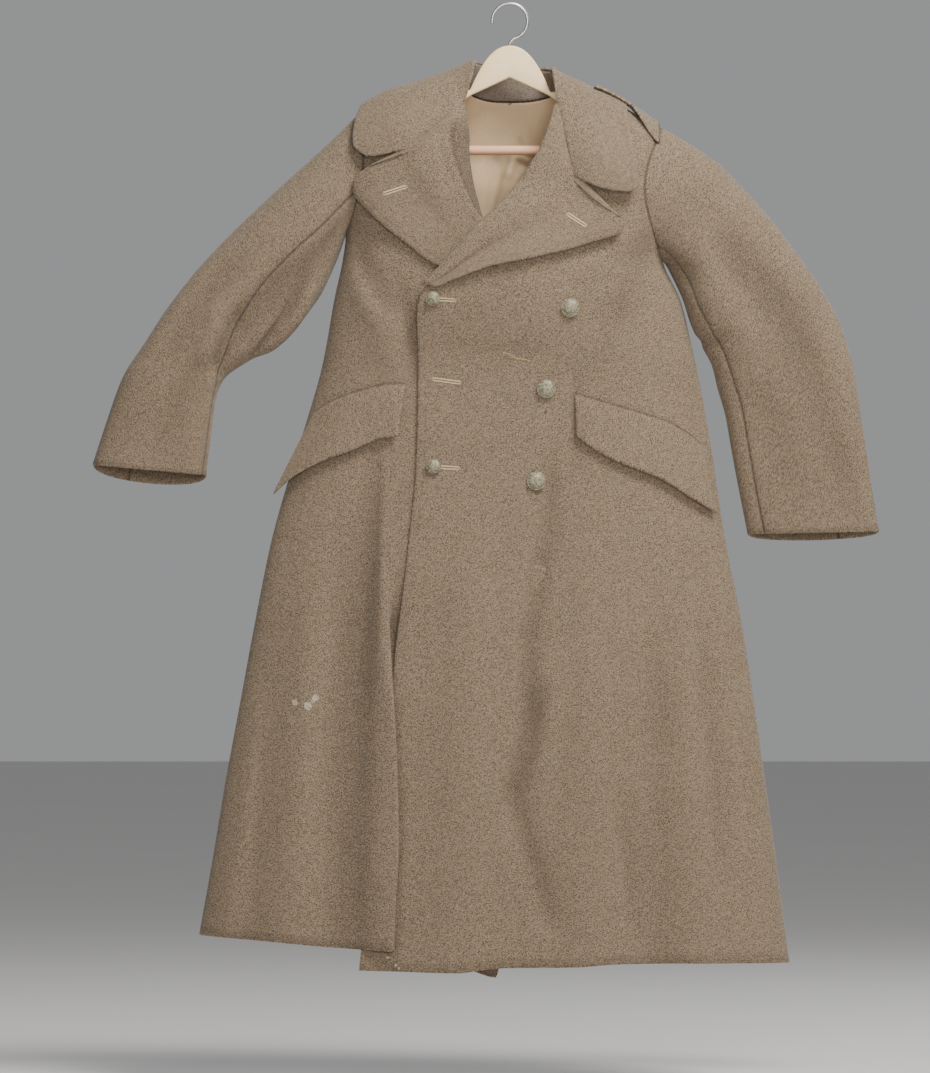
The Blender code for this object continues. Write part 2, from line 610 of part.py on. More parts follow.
def make_lapel(side, material):
    """A leaf that turns over the front's roll, with the facing that goes in behind it."""
    rows = LAPEL_LEFT if side == "left" else LAPEL_RIGHT
    down, across = 13, 6
    radius = LAPEL_OVER_FRONT
    grid = []
    for j in range(down + 1):
        roll_x, roll_z, edge_x, edge_z = row_at(rows, j / down)
        toward = Vector((edge_x - roll_x, 0, edge_z - roll_z))
        length = toward.length
        toward.normalize()
        base_x, base_z = roll_x + toward.x * radius, roll_z + toward.z * radius
        row = []
        for back in (1.0, 0.45):
            reach = FACING_REACH * back
            x, z = base_x + toward.x * reach, base_z + toward.z * reach
            row.append(lapel_point(side, x, z, -radius - FACING_DROP))
        for step in range(5):
            turn = math.pi * step / 4
            x = base_x - toward.x * radius * math.sin(turn)
            z = base_z - toward.z * radius * math.sin(turn)
            over = -(radius + FACING_DROP * (1 - step / 4)) * math.cos(turn)
            start = lapel_point(side, base_x, base_z, over)
            row.append(Vector((x, start.y, z)))
        for i in range(1, across + 1):
            share = i / across
            reach = radius + (length - radius) * share
            x, z = roll_x + toward.x * reach, roll_z + toward.z * reach
            puff = LAPEL_PUFF * math.sin(math.pi * min(share * 2.2, 1.0)) * smooth(0.0, 0.4, j / down)
            curl = LAPEL_CURL * smooth(0.55, 1.0, share) * smooth(0.08, 0.36, j / down)
            free = smooth(0.92, 0.66, j / down) if side == "right" else smooth(1.0, 0.85, j / down)
            row.append(lapel_point(side, x, z, radius + (puff + curl) * free))
        grid.append(row)
    return wall("lapel_" + side, grid, DOUBLE_WOOL, material)


def round_shoulder(x, t):
    """A point of the shell by its way round the shoulder: 0 on top, above 0 down the front."""
    ridge = table(SHOULDER_LINE, 0, 1, x)
    turn = min(abs(t), 1.0) * math.pi / 2
    z = ridge - SHOULDER_ROUNDING * (1 - math.cos(turn)) - max(abs(t) - 1.0, 0.0) * SHOULDER_ROUNDING
    return on_shell(x, z, behind=t < 0)


def way_round(x, z, behind):
    """The way round the shoulder that reaches a height."""
    drop = (table(SHOULDER_LINE, 0, 1, x) - z) / SHOULDER_ROUNDING
    t = drop if drop > 1 else math.acos(1 - max(drop, 0.0)) * 2 / math.pi
    return -t if behind else t


def shoulder_out(x, t):
    step = 0.03
    across = round_shoulder(x + 0.004, t) - round_shoulder(x - 0.004, t)
    along = round_shoulder(x, t + step) - round_shoulder(x, t - step)
    return across.cross(along).normalized() * -1


def collar_value(place, values):
    """Read a list with one value a row of the collar's table, between its rows."""
    return table(list(enumerate(values)), 0, 1, place)


def fold_depth(fold_x, y, fold_z):
    """The collar's fold keeps its own depth at the neck and lies on the lapel in front."""
    if y is not None:
        return y
    side = "left" if fold_x > 0 else "right"
    return lapel_point(side, fold_x, fold_z, LAPEL_OVER_FRONT + LEAF_OVER_LAPEL).y


def leaf_point(position, share):
    """A point of the collar's leaf: share 0 at the fold and 1 at the outer edge."""
    place = position * (len(COLLAR) - 1)
    from_end = min(place, len(COLLAR) - 1 - place)
    on_lapel = max(1 - from_end / 2, 0.0)
    fold_x = collar_value(place, [row[0] for row in COLLAR])
    fold_y = collar_value(place, [fold_depth(*row[:3]) for row in COLLAR])
    fold_z = collar_value(place, [row[2] for row in COLLAR])
    outer_x = collar_value(place, [row[3] for row in COLLAR])
    outer_t = collar_value(place, [way_round(row[3], row[4], row[5] < 0) for row in COLLAR])
    start_t = lerp(way_round(fold_x, fold_z, False), outer_t * 0.35, smooth(1.0, 4.0, from_end))
    x, t = lerp(fold_x, outer_x, share), lerp(start_t, outer_t, share)
    lift = LEAF_LIFT + LEAF_EDGE_LIFT * smooth(0.6, 1.0, share) * smooth(2.0, 0.5, from_end)
    if x < 0:
        lift = lerp(lift, LEAF_OVER_STRAP, smooth(0.5, 2.5, from_end))
    elif t > 0:
        lift += left_front_lift(x, round_shoulder(x, t).z) * smooth(0.0, 0.5, t)
    laid = round_shoulder(x, t) + shoulder_out(x, t) * lift
    settled = smooth(0.0, lerp(0.62, 0.12, smooth(0.0, 1.0, on_lapel)), share)
    point = Vector((fold_x, fold_y, fold_z)).lerp(laid, settled)
    rise = LEAF_RISE * math.sin(math.pi * min(share * 1.8, 1.0)) * (1 - on_lapel)
    bulge = LEAF_BULGE_LEFT if x > 0 else LEAF_BULGE_RIGHT
    point.z += rise - bulge * math.sin(math.pi * share) * smooth(1.0, 0.0, from_end)
    return point


def make_collar_fall(material):
    stations, across = 30, 6
    grid = []
    for j in range(stations + 1):
        grid.append([leaf_point(j / stations, i / across) for i in range(across + 1)])
    return wall("collar_fall", grid, DOUBLE_WOOL, material)


def make_collar_stand(material):
    """The upright band inside the collar, from the neck seam to just under the fold."""
    stations = 16
    last_row = len(COLLAR) - 1
    grid = []
    for j in range(stations + 1):
        share = j / stations
        fold = leaf_point(lerp(STAND_FROM_ROW, STAND_TO_ROW, share) / last_row, 0.0)
        foot_x = lerp(NECK_RIGHT, NECK_LEFT, (1 - math.cos(math.pi * share)) / 2) * 0.94
        foot_z = neck_line(foot_x) + STAND_ABOVE_SEAM
        foot = on_shell(foot_x, foot_z, behind=True)
        inward = Vector((-fold.x, -fold.y * 0.8, 0)).normalized()
        top = fold + Vector((0, 0, -0.0030)) + inward * lerp(0.0024, 0.0064, math.sin(math.pi * share))
        grid.append([foot.lerp(top, i / 3) for i in range(4)])
    return wall("collar_stand", grid, WOOL, material)


def make_flap(side, material):
    rows = FLAP_LEFT if side == "left" else FLAP_RIGHT
    across, down = 10, 5
    grid = []
    for i in range(across + 1):
        x_top, z_top, z_low, lift, x_low = row_at(rows, i / across)
        column = []
        for j in range(down + 1):
            share = j / down
            x, z = lerp(x_top, x_low, share), lerp(z_top, z_low, share)
            limit = abs(side_line(side, z)) * 0.93
            held_x = math.copysign(min(abs(x), limit), x)
            base = front_left_point(held_x, z) if side == "left" else front_right_point(held_x, z)
            past = abs(x) - abs(held_x)
            over = FLAP_OVER_FRONT + lift * share ** 1.5 + 0.0015 * math.sin(math.pi * share)
            beyond = Vector((math.copysign(past, x), past * 0.55, 0))
            column.append(base + out_of_shell(held_x, z) * over + beyond)
        grid.append(column)
    return wall("pocket_flap_" + side, grid, DOUBLE_WOOL, material)


def make_strap(side, x_arm, x_neck, material):
    """A shoulder strap: one stands clear of the shoulder, one lies flat under the collar."""
    along, across = 10, 6
    grid = []
    for i in range(along + 1):
        share = i / along
        x = lerp(x_arm, x_neck, share)
        half = STRAP_HALF_WIDTH * lerp(1.0, STRAP_NARROWING, share)
        ridge = table(SHOULDER_LINE, 0, 1, x)
        row = []
        for j in range(across + 1):
            place = lerp(-1.0, 1.0, j / across)
            t = -place * STRAP_WRAP
            lying = round_shoulder(x, t) + shoulder_out(x, t) * STRAP_LYING
            rise = STRAP_STAND + STRAP_RISE * math.sqrt(share) - STRAP_CAMBER * place * place
            raised = Vector((x, half * place + 0.002, ridge + rise))
            row.append(lying.lerp(raised, smooth(0.0, 0.45, share)) if side == "left" else lying)
        grid.append(row)
    return wall("shoulder_strap_" + side, grid, STRAP_THICKNESS, material)


def make_lining(material):
    across, down = 11, 7
    grid = []
    for j in range(down + 1):
        share = j / down
        row = []
        for i in range(across + 1):
            u = lerp(-1.0, 1.0, i / across)
            x = u * lerp(LINING_HALF_TOP, LINING_HALF_FOOT, smooth(0.0, 0.4, share))
            z = lerp(LINING_TOP, LINING_FOOT, share)
            off_crease = (x - 0.006 - 0.02 * share) / 0.007
            crease = LINING_CREASE * math.exp(-off_crease * off_crease) * smooth(0.05, 0.25, share)
            off_back = lerp(LINING_AT_SEAM, LINING_OFF_BACK, smooth(0.0, 0.2, share))
            point = on_shell(x, z, behind=True)
            row.append(point + Vector((0, drape("back", x, z) - off_back - crease, 0)))
        grid.append(row)
    return wall("lining_back", grid, LINING, material)


def turned(name, profile, centre, facing, material, sides=BUTTON_SIDES):
    """A solid turned from a profile of radius and height, facing a direction."""
    bm = bmesh.new()
    spin = facing.to_track_quat("Z", "Y")
    rings = []
    for radius, height in profile:
        ring = []
        for n in range(sides):
            a = 2 * math.pi * n / sides
            spoke = Vector((radius * math.cos(a), radius * math.sin(a), height))
            ring.append(bm.verts.new(centre + spin @ spoke))
        rings.append(ring)
    for low, high in zip(rings, rings[1:]):
        for n in range(sides):
            m = (n + 1) % sides
            bm.faces.new((low[n], low[m], high[m], high[n]))
    bm.faces.new(rings[0][::-1])
    bm.faces.new(rings[-1])
    bmesh.ops.recalc_face_normals(bm, faces=bm.faces)
    return solid(name, bm, material)


def make_button(number, x, z, sunk, size, material):
    facing = out_of_shell(x, z)
    foot = front_left_point(x, z) + facing * (WOOL / 2 + 2 * SEAM_GAP - sunk)
    profile = [(radius * size, height) for radius, height in BUTTON_PROFILE]
    return turned(f"button_{number}", profile, foot, facing, material)


def hanger_top(x):
    head = HEAD_TOP - HEAD_DROP * (1 - math.sqrt(max(1 - (abs(x) / HEAD_ARCH) ** 2, 0.0)))
    arm = table(SHOULDER_LINE, 0, 1, x) - ARM_CLEARANCE
    if abs(x) > HEAD_HALF_WIDTH:
        return arm
    return lerp(head, arm, smooth(0.052, HEAD_HALF_WIDTH, abs(x)))


def hanger_foot(x):
    """Lower edge of the hanger: the notch, the arms, and the ends that hold the bar."""
    arm = lerp(HEAD_NOTCH - ARM_SLOPE * abs(x), hanger_top(x) - ARM_HEIGHT, smooth(0.05, 0.10, abs(x)))
    return ARM_END_FOOT if abs(x) > BAR_REACH + SEAM_GAP - 0.0001 else arm


def make_hanger(material):
    steps = 28
    bm = bmesh.new()
    sections = []
    stations = [lerp(HANGER_REACH_RIGHT, HANGER_REACH_LEFT, n / steps) for n in range(steps + 1)]
    stations += [way * (BAR_REACH + SEAM_GAP * share) for way in (-1, 1) for share in (0, 1)]
    for x in sorted(stations):
        top, foot = hanger_top(x), hanger_foot(x)
        to_end = min(x - HANGER_REACH_RIGHT, HANGER_REACH_LEFT - x)
        rounding = HANGER_END_ROUNDING * (1 - min(to_end / (2 * HANGER_END_ROUNDING), 1.0)) ** 2
        half, edge = HANGER_THICKNESS / 2, HANGER_EDGE
        top, foot = top - rounding, foot + rounding
        corners = ((-half, foot + edge), (-half, top - edge), (-half + edge, top), (half - edge, top),
                   (half, top - edge), (half, foot + edge), (half - edge, foot), (-half + edge, foot))
        sections.append([bm.verts.new((x, y, z)) for y, z in corners])
    for a, b in zip(sections, sections[1:]):
        for n in range(8):
            m = (n + 1) % 8
            bm.faces.new((a[n], a[m], b[m], b[n]))
    bm.faces.new(sections[0])
    bm.faces.new(sections[-1])
    bmesh.ops.recalc_face_normals(bm, faces=bm.faces)
    return solid("hanger", bm, material)


def tube(name, points, radius, material, sides=8):
    """A closed wire or bar along points, with flat ends."""
    bm = bmesh.new()
    rings = []
    side_way = Vector((0, 1, 0))
    for n, point in enumerate(points):
        ahead = (points[min(n + 1, len(points) - 1)] - points[max(n - 1, 0)]).normalized()
        across = ahead.cross(side_way).normalized()
        up = across.cross(ahead).normalized()
        ring = []
        for k in range(sides):
            a = 2 * math.pi * k / sides
            ring.append(bm.verts.new(point + (across * math.cos(a) + up * math.sin(a)) * radius))
        rings.append(ring)
    for low, high in zip(rings, rings[1:]):
        for k in range(sides):
            m = (k + 1) % sides
            bm.faces.new((low[k], low[m], high[m], high[k]))
    bm.faces.new(rings[0])
    bm.faces.new(rings[-1])
    bmesh.ops.recalc_face_normals(bm, faces=bm.faces)
    return solid(name, bm, material)


def make_hook(material):
    """A wire hook: a shank up from the hanger, a curve over the origin and a short tip."""
    middle_z = -HOOK_RADIUS
    reach = HOOK_RADIUS + HOOK_WIRE
    points = [Vector((0, 0, HEAD_TOP + SEAM_GAP)), Vector((0, 0, HEAD_TOP + 0.004))]
    for n in range(14):
        a = math.radians(lerp(-78, 190, n / 13))
        points.append(Vector((reach * math.cos(a), 0, middle_z + reach * math.sin(a))))
    return tube("hanger_hook", points, HOOK_WIRE, material)


def make_bar(material):
    points = [Vector((x, 0, BAR_Z)) for x in (-BAR_REACH, 0.0, BAR_REACH)]
    return tube("trouser_bar", points, BAR_RADIUS, material, sides=12)


def main():
    for old in list(bpy.data.objects):
        bpy.data.objects.remove(old, do_unlink=True)

    wool = (0.235, 0.180, 0.120)
    make_front_left(finish("wool_front_left", wool, 0.92))
    make_front_right(finish("wool_front_right", wool, 0.92))
    for side in ("left", "right"):
        make_back(side, finish("wool_back_" + side, wool, 0.92))
        make_sleeve(side, "top", finish("wool_sleeve_top_" + side, wool, 0.92))
        make_sleeve(side, "under", finish("wool_sleeve_under_" + side, wool, 0.92))
        make_lapel(side, finish("wool_lapel_" + side, wool, 0.92))
        make_flap(side, finish("wool_flap_" + side, wool, 0.92))
    make_collar_fall(finish("wool_collar_fall", wool, 0.92))
    make_collar_stand(finish("wool_collar_stand", (0.16, 0.13, 0.10), 0.92))
    for side, x_arm, x_neck in STRAPS:
        make_strap(side, x_arm, x_neck, finish("wool_strap_" + side, wool, 0.92))
    make_lining(finish("lining_twill", (0.42, 0.31, 0.20), 0.75))
    for number, (x, z, sunk, size) in enumerate(BUTTONS, start=1):
        make_button(number, x, z, sunk, size, finish(f"brass_{number}", (0.30, 0.27, 0.16), 0.45, 0.8))
    make_hanger(finish("pale_wood", (0.80, 0.66, 0.46), 0.5))
    make_bar(finish("bar_wood", (0.66, 0.45, 0.34), 0.5))
    make_hook(finish("hook_steel", (0.55, 0.55, 0.55), 0.3, 1.0))


main()
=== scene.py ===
"""Double-breasted wool greatcoat on a wooden hanger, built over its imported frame.

Every cloth piece is a fine closed wall on the same shell as its plain solid in
the frame: the flat, rounded form that the empty coat takes as it hangs. Metres,
+Z up, the front faces -Y, and the wearer's left is +X.
"""

import math

import bpy
import numpy as np
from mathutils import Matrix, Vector, noise


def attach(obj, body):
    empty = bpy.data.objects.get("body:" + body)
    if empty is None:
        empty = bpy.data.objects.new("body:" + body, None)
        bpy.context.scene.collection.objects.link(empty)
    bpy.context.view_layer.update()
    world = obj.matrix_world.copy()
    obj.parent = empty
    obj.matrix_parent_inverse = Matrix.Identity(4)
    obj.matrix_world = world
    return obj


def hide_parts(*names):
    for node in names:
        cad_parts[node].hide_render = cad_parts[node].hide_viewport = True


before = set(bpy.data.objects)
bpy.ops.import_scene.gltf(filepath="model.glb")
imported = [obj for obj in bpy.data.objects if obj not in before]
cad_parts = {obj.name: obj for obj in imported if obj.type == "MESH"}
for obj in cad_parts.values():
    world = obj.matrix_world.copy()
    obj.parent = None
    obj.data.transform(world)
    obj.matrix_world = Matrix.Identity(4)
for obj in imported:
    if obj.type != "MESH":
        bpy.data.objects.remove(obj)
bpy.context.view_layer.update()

bl_info = {
    "name": "Wool greatcoat on a hanger",
    "version": (1, 0, 0),
    "blender": (4, 5, 0),
    "location": "View3D > Sidebar > Greatcoat",
    "description": "Builds the detailed cloth, seams, buttons and hanger of a greatcoat over its frame",
    "category": "Object",
}

# Gaps at the seams, and the shell of the hanging coat
SEAM_GAP = 0.0004
SIDE_GAP = 0.0007
SHOULDER_ROUNDING = 0.11
SIDE_POWER = 3.0
WOOL = 0.0026
LINING = 0.0012

SHOULDER_LINE = (  # x, z of the ridge along the shoulders
    (-0.25, -0.176), (-0.225, -0.161), (-0.205, -0.15), (-0.176, -0.134), (-0.155, -0.124),
    (-0.108, -0.113), (-0.072, -0.106), (0.0, -0.098), (0.075, -0.112), (0.121, -0.124),
    (0.15, -0.137), (0.178, -0.153), (0.205, -0.168), (0.226, -0.177), (0.255, -0.192),
)
BODY = (  # z, x of right side, x of left side, depth in front, depth behind
    (-0.09, -0.262, 0.27, 0.056, 0.046),
    (-0.15, -0.256, 0.264, 0.06, 0.05),
    (-0.22, -0.244, 0.248, 0.064, 0.056),
    (-0.305, -0.223, 0.222, 0.068, 0.06),
    (-0.345, -0.226, 0.207, 0.069, 0.06),
    (-0.401, -0.238, 0.231, 0.068, 0.058),
    (-0.469, -0.25, 0.248, 0.064, 0.054),
    (-0.509, -0.259, 0.257, 0.061, 0.052),
    (-0.591, -0.2835, 0.272, 0.06, 0.052),
    (-0.665, -0.3065, 0.283, 0.061, 0.053),
    (-0.732, -0.3245, 0.294, 0.062, 0.055),
    (-0.834, -0.345, 0.314, 0.064, 0.058),
    (-0.942, -0.365, 0.331, 0.066, 0.061),
    (-1.05, -0.385, 0.346, 0.068, 0.063),
    (-1.158, -0.403, 0.361, 0.07, 0.066),
    (-1.259, -0.421, 0.374, 0.072, 0.068),
    (-1.33, -0.432, 0.384, 0.073, 0.069),
)
ARMHOLE_RIGHT = (  # z, x
    (-0.15, -0.205), (-0.19, -0.199), (-0.225, -0.199), (-0.259, -0.206), (-0.286, -0.214),
    (-0.306, -0.2228),
)
ARMHOLE_LEFT = (  # z, x
    (-0.168, 0.205), (-0.219, 0.186), (-0.259, 0.182), (-0.3, 0.191), (-0.328, 0.2),
    (-0.345, 0.2065),
)

# Front edges, each from the neck down the roll of the lapel to the hem
EDGE_LEFT = (  # z, x
    (-0.112, 0.074), (-0.151, 0.06), (-0.178, 0.049), (-0.199, 0.04), (-0.226, 0.022),
    (-0.266, -0.006), (-0.291, -0.034), (-0.324, -0.064), (-0.358, -0.096), (-0.377, -0.114),
    (-0.401, -0.122), (-0.47, -0.1235), (-0.536, -0.1235), (-0.591, -0.1245), (-0.645, -0.127),
    (-0.712, -0.134), (-0.793, -0.143), (-0.872, -0.1535), (-0.928, -0.1585), (-1.05, -0.172),
    (-1.2, -0.19), (-1.307, -0.2035),
)
EDGE_RIGHT = (  # z, x
    (-0.106, -0.071), (-0.15, -0.06), (-0.199, -0.059), (-0.239, -0.056), (-0.273, -0.046),
    (-0.3, -0.03), (-0.345, 0.02), (-0.39, 0.072), (-0.43, 0.092), (-0.6, 0.096),
    (-0.9, 0.104), (-1.29, 0.118),
)
HEM = (  # x, z of the right front, z of the left front, z of the back
    (-0.43, -1.259, -1.3, -1.252), (-0.315, -1.268, -1.302, -1.262),
    (-0.235, -1.275, -1.305, -1.272), (-0.157, -1.28, -1.307, -1.284),
    (-0.07, -1.282, -1.309, -1.306), (-0.045, -1.2825, -1.306, -1.314),
    (-0.0245, -1.283, -1.3035, -1.3205), (-0.0175, -1.2832, -1.303, -1.3195),
    (-0.014, -1.2835, -1.3025, -1.296), (0.0, -1.284, -1.302, -1.292), (0.088, -1.286, -1.301, -1.292),
    (0.147, -1.288, -1.297, -1.289), (0.39, -1.29, -1.297, -1.288),
)

# Long fold of the right front that the left front slips into
FOLD_NOSE = (  # z, x of the fold's edge
    (-0.591, -0.163), (-0.75, -0.165), (-0.872, -0.161), (-0.928, -0.1575), (-1.02, -0.1525),
    (-1.14, -0.15), (-1.21, -0.154), (-1.29, -0.157),
)
FOLD_START = -0.76
FOLD_SHUT = -0.905
FOLD_DEPTH = (  # z, how far the cloth goes back under the fold
    (-0.6, 0.0), (-0.78, 0.002), (-0.85, 0.01), (-0.91, 0.02), (-1.1, 0.042),
    (-1.29, 0.064),
)
FOLD_RIDGE = 0.008
FOLD_NOSE_RADIUS = 0.003
FOLD_BACK_RADIUS = 0.0045

# Rows down a body panel, as shares of the way from the shoulder to the hem
PANEL_MARKS = (
    0.0, 0.0025, 0.01, 0.024, 0.046, 0.075, 0.108, 0.14, 0.165, 0.2, 0.245, 0.29,
    0.34, 0.39, 0.44, 0.49, 0.535, 0.575, 0.615, 0.655, 0.7, 0.76, 0.83, 0.915, 1.0,
)
SIDE_CROWDING = 1.55

# Neck, and the lapped vent of the back
NECK_LEFT = 0.075
NECK_RIGHT = -0.072
CENTRE_BACK = ((-0.131, 0.0), (-0.6, -0.004), (-1.3, -0.014))  # z, x
VENT_START = -0.78
VENT_LAP = 0.03
VENT_STEP = 0.0025

# Layers over the shell
OVERLAP_LIFT = 0.0048
LAPEL_LIFT = 0.0152
LAPEL_OVER_FRONT = 0.0038
ROLL_SETBACK = 0.0135
FACING_DROP = 0.001
FLAP_OVER_FRONT = 0.0036

DRAPE = {  # x and z at the top, x and z at the bottom, half width, height, 1 if it fades out below
    "front_left": (
        (0.104, -0.62, 0.105, -1.32, 0.034, 0.0075, 0),
        (0.196, -0.72, 0.206, -1.32, 0.026, -0.006, 0),
        (0.234, -0.74, 0.262, -1.32, 0.024, 0.005, 0),
        (-0.045, -0.6, -0.08, -1.32, 0.036, 0.0055, 0),
    ),
    "front_right": (
        (-0.152, -0.53, -0.176, -0.98, 0.012, 0.0085, 1),
        (-0.182, -0.5, -0.22, -1.32, 0.026, -0.0125, 0),
        (-0.262, -0.66, -0.3, -1.32, 0.03, 0.0065, 0),
        (-0.318, -0.8, -0.356, -1.32, 0.022, -0.005, 0),
    ),
    "back": (
        (-0.19, -0.55, -0.27, -1.32, 0.03, -0.008, 0),
        (-0.105, -0.5, -0.15, -1.32, 0.03, 0.0075, 0),
        (0.1, -0.52, 0.13, -1.32, 0.03, 0.007, 0),
        (0.195, -0.6, 0.245, -1.32, 0.028, -0.008, 0),
    ),
}

FACING_REACH = 0.02
LAPEL_PUFF = 0.0035
LAPEL_CURL = 0.0072
LAPEL_TUCK = 0.003
# Painted shade in fold troughs: its strongest darkening, and the trough depth that gets all of it
TROUGH_DARK = 0.42
TROUGH_DEPTH = 0.0105
UNDER_LEAF = {  # x and z on the roll and on the edge of the lapel's top that lies hidden under the collar
    "right": (-0.066, -0.126, -0.119, -0.178), "left": (0.069, -0.133, 0.093, -0.224)}
LAPEL_RIGHT = (  # x and z on the roll, x and z on the outer edge
    (-0.068, -0.138, -0.134, -0.2), (-0.074, -0.15, -0.149, -0.2065),
    (-0.081, -0.165, -0.175, -0.2175), (-0.0845, -0.178, -0.196, -0.228),
    (-0.084, -0.192, -0.2045, -0.238), (-0.0805, -0.206, -0.205, -0.256),
    (-0.0735, -0.226, -0.19, -0.276), (-0.0655, -0.246, -0.164, -0.302),
    (-0.055, -0.268, -0.134, -0.328), (-0.043, -0.288, -0.104, -0.351),
    (-0.023, -0.306, -0.066, -0.368),
)
FACING_INSIDE = (  # the right facing's inner edge, row by row with the lapel's roll: x, how deep it goes
    (-0.063, 0.003), (-0.06, 0.01), (-0.0575, 0.016), (-0.0565, 0.019), (-0.0565, 0.019), (-0.056, 0.018),
    (-0.0535, 0.017), (-0.05, 0.016), (-0.0445, 0.014), (-0.0385, 0.012), (-0.028, 0.01),
)
LAPEL_LEFT = (
    (0.062, -0.138, 0.0825, -0.234), (0.057, -0.154, 0.102, -0.256),
    (0.0505, -0.174, 0.123, -0.274), (0.044, -0.19, 0.144, -0.289),
    (0.04, -0.2, 0.149, -0.2985), (0.03, -0.216, 0.1425, -0.311),
    (0.01, -0.246, 0.113, -0.321), (-0.015, -0.274, 0.07, -0.3345),
    (-0.038, -0.296, 0.02, -0.346), (-0.066, -0.327, -0.029, -0.356),
    (-0.096, -0.359, -0.074, -0.373), (-0.115, -0.377, -0.101, -0.3845),
)

LEAF_LIFT = 0.0078
LEAF_OVER_STRAP = 0.011
GORGE_OVER_LAPEL = 0.0016
LEAF_EDGE_LIFT = 0.007
LEAF_RISE = 0.006
LEAF_CORNER = 0.0035
LEAF_BULGE_LEFT = 0.009
LEAF_BULGE_RIGHT = 0.005
STAND_ABOVE_SEAM = 0.0028
STAND_FROM_ROW, STAND_TO_ROW = 4.0, 10.0
COLLAR = (  # fold x, y, z; outer x; how far round the shoulder: 1 is down the front, -1 the back
    (-0.136, None, -0.1978, -0.189, -0.2085, 1),
    (-0.1008, None, -0.1638, -0.206, -0.186, 1),
    (-0.065, None, -0.136, -0.205, -0.165, 1),
    (-0.053, -0.04, -0.102, -0.198, -0.149, 1),
    (-0.049, -0.02, -0.08, -0.186, -0.145, -1),
    (-0.049, 0.018, -0.078, -0.16, -0.17, -1),
    (-0.03, 0.043, -0.08, -0.1, -0.19, -1),
    (0.002, 0.05, -0.083, -0.01, -0.198, -1),
    (0.034, 0.043, -0.085, 0.08, -0.193, -1),
    (0.058, 0.018, -0.088, 0.124, -0.178, -1),
    (0.058, -0.02, -0.089, 0.144, -0.156, -1),
    (0.061, -0.04, -0.108, 0.154, -0.15, 1),
    (0.065, None, -0.1362, 0.16, -0.185, 1),
    (0.0783, None, -0.1897, 0.1665, -0.23, 1),
    (0.086, None, -0.233, 0.156, -0.255, 1),
)

SLEEVE_RIGHT = (  # outer x, z; inner x, z; half depth; drop of the far side; front seam, 0 at the inner edge
    (-0.249, -0.195, -0.239, -0.364, 0.043, 0.0, 0.36),
    (-0.285, -0.225, -0.26, -0.397, 0.044, 0.0, 0.44),
    (-0.328, -0.264, -0.29, -0.436, 0.043, 0.0, 0.49),
    (-0.382, -0.316, -0.326, -0.465, 0.041, 0.0, 0.47),
    (-0.427, -0.364, -0.358, -0.484, 0.039, 0.0, 0.33),
    (-0.462, -0.41, -0.384, -0.502, 0.037, 0.0, 0.13),
    (-0.495, -0.46, -0.395, -0.52, 0.035, 0.0, 0.05),
    (-0.524, -0.505, -0.401, -0.544, 0.033, 0.002, 0.03),
    (-0.545, -0.562, -0.406, -0.588, 0.031, 0.006, 0.03),
    (-0.5645, -0.623, -0.412, -0.637, 0.029, 0.018, 0.03),
)
SLEEVE_LEFT = (
    (0.256, -0.195, 0.225, -0.373, 0.043, 0.0, 0.1),
    (0.29, -0.222, 0.237, -0.404, 0.044, 0.0, 0.12),
    (0.335, -0.27, 0.247, -0.434, 0.043, 0.0, 0.13),
    (0.378, -0.324, 0.26, -0.462, 0.041, 0.0, 0.13),
    (0.418, -0.38, 0.274, -0.488, 0.038, 0.0, 0.12),
    (0.448, -0.435, 0.283, -0.522, 0.036, 0.0, 0.12),
    (0.466, -0.495, 0.293, -0.556, 0.034, 0.0, 0.12),
    (0.476, -0.56, 0.301, -0.6, 0.032, 0.002, 0.12),
    (0.486, -0.625, 0.311, -0.655, 0.03, 0.006, 0.12),
    (0.5, -0.713, 0.323, -0.717, 0.028, 0.01, 0.12),
)
SLEEVE_MARKS = (0.0, 0.03, 0.07, 0.13, 0.2, 0.28, 0.37, 0.46, 0.55, 0.65, 0.76, 0.88, 1.0)
HIND_SEAM = 0.3
SLEEVE_SEAM_TURN = -0.003
ARMHOLE_GAP = -0.001

FLAP_RIGHT = (  # x, z on the top seam, z at the lower edge, lift of the lower edge, x at the lower edge
    (-0.143, -0.514, -0.585, 0.004, -0.153), (-0.169, -0.515, -0.588, 0.005, -0.176),
    (-0.203, -0.5235, -0.604, 0.006, -0.212), (-0.23, -0.533, -0.619, 0.008, -0.25),
    (-0.25, -0.543, -0.642, 0.009, -0.288), (-0.2615, -0.552, -0.664, 0.009, -0.313),
)
FLAP_LEFT = (
    (0.089, -0.5275, -0.585, 0.003, 0.0905), (0.121, -0.537, -0.603, 0.004, 0.115),
    (0.161, -0.549, -0.62, 0.005, 0.148), (0.206, -0.563, -0.642, 0.006, 0.202),
    (0.238, -0.58, -0.668, 0.006, 0.242), (0.257, -0.596, -0.688, 0.006, 0.274),
)

STRAP_THICKNESS = 0.0044
STRAP_HALF_WIDTH = 0.026
STRAP_NARROWING = 0.84
STRAP_WRAP = 0.42
STRAP_LYING = 0.005
STRAP_STAND = 0.0058
STRAP_RISE = 0.0066
STRAP_CAMBER = 0.0016
STRAPS = (  # side, x at the armhole, x at the collar
    ("left", 0.2, 0.117), ("right", -0.196, -0.101),
)

BUTTONS = (  # x, z, how far it is sunk in the cloth's hollow, size beside the largest
    (0.081, -0.412, 0.0, 1.0), (0.049, -0.5215, 0.0, 1.0), (0.0355, -0.646, 0.0, 1.0),
    (-0.104, -0.4, 0.0012, 0.78), (-0.103, -0.626, 0.0, 0.8),
)

